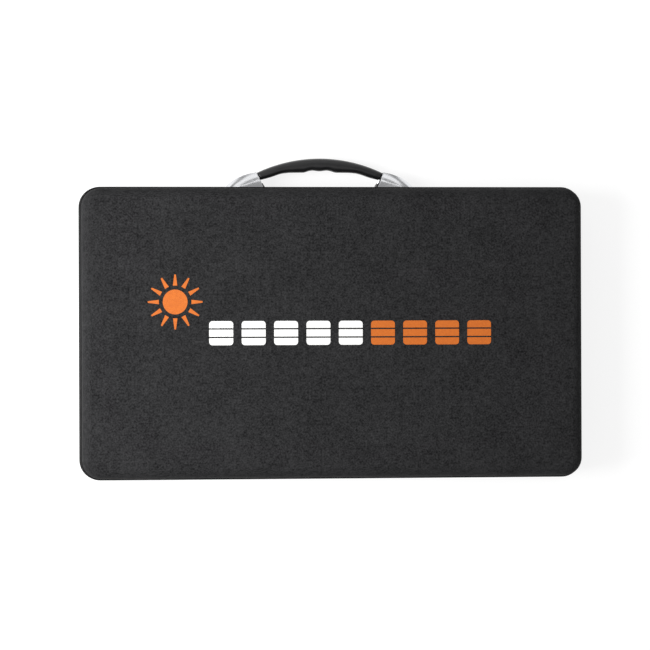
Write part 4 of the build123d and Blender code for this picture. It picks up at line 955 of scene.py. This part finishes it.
def cell_pieces(panel, face_up):
    """Cells with cut corners in four strings, two ribbons along each string, and the links between strings."""
    low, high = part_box(f"{panel}_cell_strings")
    middle_y = (low.y + high.y) / 2
    x, y, cut = CELL_X / 2, CELL_Y / 2, CELL_CUT
    corners = [(-x + cut, -y), (x - cut, -y), (x, -y + cut), (x, y - cut),
               (x - cut, y), (-x + cut, y), (-x, y - cut), (-x, -y + cut)]
    row_y = middle_y + (np.arange(CELL_ROWS) - (CELL_ROWS - 1) / 2) * (CELL_Y + CELL_SPACE)
    column_x = (np.arange(CELL_COLUMNS) - (CELL_COLUMNS - 1) / 2) * (CELL_X + CELL_SPACE)
    places = np.stack(np.meshgrid(column_x, row_y), axis=-1).reshape(-1, 2)
    split = high.z - RIBBON_THICK if face_up else low.z + RIBBON_THICK
    cell_levels = (low.z, split) if face_up else (split, high.z)
    cells = prisms(f"{panel}_cells", np.array(corners), places, *cell_levels)
    finish(cells, CELL, "solar_cell", f"panel_{panel}", f"{panel}_cell_strings")
    levels = (split, high.z) if face_up else (low.z, split)
    ribbon_y = np.concatenate([row_y - CELL_Y / 4, row_y + CELL_Y / 4])
    ribbon_places = np.stack([np.zeros_like(ribbon_y), ribbon_y], axis=1)
    ribbons = prisms(f"{panel}_ribbons", rectangle(high.x, RIBBON_WIDE / 2), ribbon_places, *levels)
    finish(ribbons, RIBBON, "solar_cell", f"panel_{panel}")
    link_x = high.x + LINK_WIDE / 2 + 0.2 * MM
    between = (row_y[:-1] + row_y[1:]) / 2
    pairs = np.column_stack([[-link_x, link_x, -link_x], between])
    link = rectangle(LINK_WIDE / 2, (CELL_Y * 1.5 + CELL_SPACE) / 2)
    links = prisms(f"{panel}_string_links", link, pairs, *levels)
    finish(links, RIBBON, "solar_cell", f"panel_{panel}")


cell_pieces("lower", True)
cell_pieces("upper", False)

# ---------------------------------------------------------------- CAD nodes that stay
node_materials = {
    NYLON: ["handle_insert_left", "handle_insert_right", "controller_case", "controller_terminals"],
    ZINC: ["handle_pins", "handle_screws", "handle_backing_plates", "fold_pins", "panel_handle_clamps",
           "latch_brackets", "latch_pins", "latch_keepers", "latch_hasp_left", "latch_hasp_right"],
    SPRING: ["handle_strap"],
    RUBBER: ["frame_bumpers", "panel_handle"],
    ENAMEL: ["zip_slider_left", "zip_slider_right", "zip_pull_left", "zip_pull_right"],
    LCD: ["controller_display"],
    KEY: ["controller_button_1", "controller_button_2", "controller_button_3"],
    ALUMINIUM: [], GLASS: [], BACKSHEET: [],
}
for panel in ("lower", "upper"):
    node_materials[ALUMINIUM] += [f"{panel}_frame_rails", f"{panel}_corner_keys", f"{panel}_legs"]
    node_materials[NYLON] += [f"{panel}_corner_caps", f"{panel}_junction_box"]
    node_materials[ZINC] += [f"{panel}_leg_mounts", f"{panel}_hinge_leaves"]
    node_materials[GLASS].append(f"{panel}_glass")
    node_materials[BACKSHEET].append(f"{panel}_backsheet")
for made, names in node_materials.items():
    for name in names:
        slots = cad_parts[name].data.materials
        slots.clear()
        slots.append(made)

# ---------------------------------------------------------------- floor, light and camera
bpy.ops.mesh.primitive_plane_add(size=14)
floor = bpy.context.object
floor.name = "floor"
floor.location.z = -0.2 * MM  # just clear of the case's underside
floor.data.materials.append(light_table())

scene = bpy.context.scene
scene.view_settings.view_transform = "Standard"
world = bpy.data.worlds.new("studio")
scene.world = world
world.use_nodes = True
world.node_tree.nodes["Background"].inputs["Color"].default_value = linear("#ffffff")
world.node_tree.nodes["Background"].inputs["Strength"].default_value = 0.38


def softbox(name, place, target, size, power):
    """A large soft area lamp that looks at its target."""
    lamp = bpy.data.lights.new(name, "AREA")
    lamp.shape = "RECTANGLE"
    lamp.size, lamp.size_y = size
    lamp.energy = power
    holder = bpy.data.objects.new(name, lamp)
    scene.collection.objects.link(holder)
    holder.location = place
    holder.rotation_euler = (Vector(target) - Vector(place)).to_track_quat("-Z", "Y").to_euler()


# A key from the left, a weak fill, and two long strips beyond the handle that put bright bands on its feet.
softbox("key_left", (-1.4, -0.05, 1.25), (-0.1, 0, 0.05), (1.2, 1.2), 62)
softbox("fill_front", (0.3, -1.3, 2.8), (0, 0, 0.05), (1.8, 1.8), 5)
softbox("strip_high", (0, 1.45, 1.85), (0, 0.25, 0.03), (2.4, 0.26), 2.4)
softbox("strip_behind", (0, 2.0, 0.95), (0, 0.25, 0.03), (2.6, 0.8), 5.5)

# The camera looks down on the lid from a little to its left.
DISTANCE, YAW, ROLL = 6.5, math.radians(7.5), math.radians(0.2)
VIEW_WIDE = 1.0035  # metres that the view takes in at the target
target = np.array([-10.3, 12.0, 60.0]) * MM
back = np.array([-math.sin(YAW), 0, math.cos(YAW)])
level = np.array([math.cos(YAW), 0, math.sin(YAW)])
north = np.cross(back, level)
right = level * math.cos(ROLL) - north * math.sin(ROLL)
up = level * math.sin(ROLL) + north * math.cos(ROLL)
place = target + DISTANCE * back
camera = bpy.data.objects.new("camera", bpy.data.cameras.new("camera"))
scene.collection.objects.link(camera)
camera.data.sensor_width = 36
camera.data.lens = 36 * DISTANCE / VIEW_WIDE
camera.data.clip_end = 50
camera.matrix_world = Matrix([[right[k], up[k], back[k], place[k]] for k in range(3)] + [[0, 0, 0, 1]])
scene.camera = camera
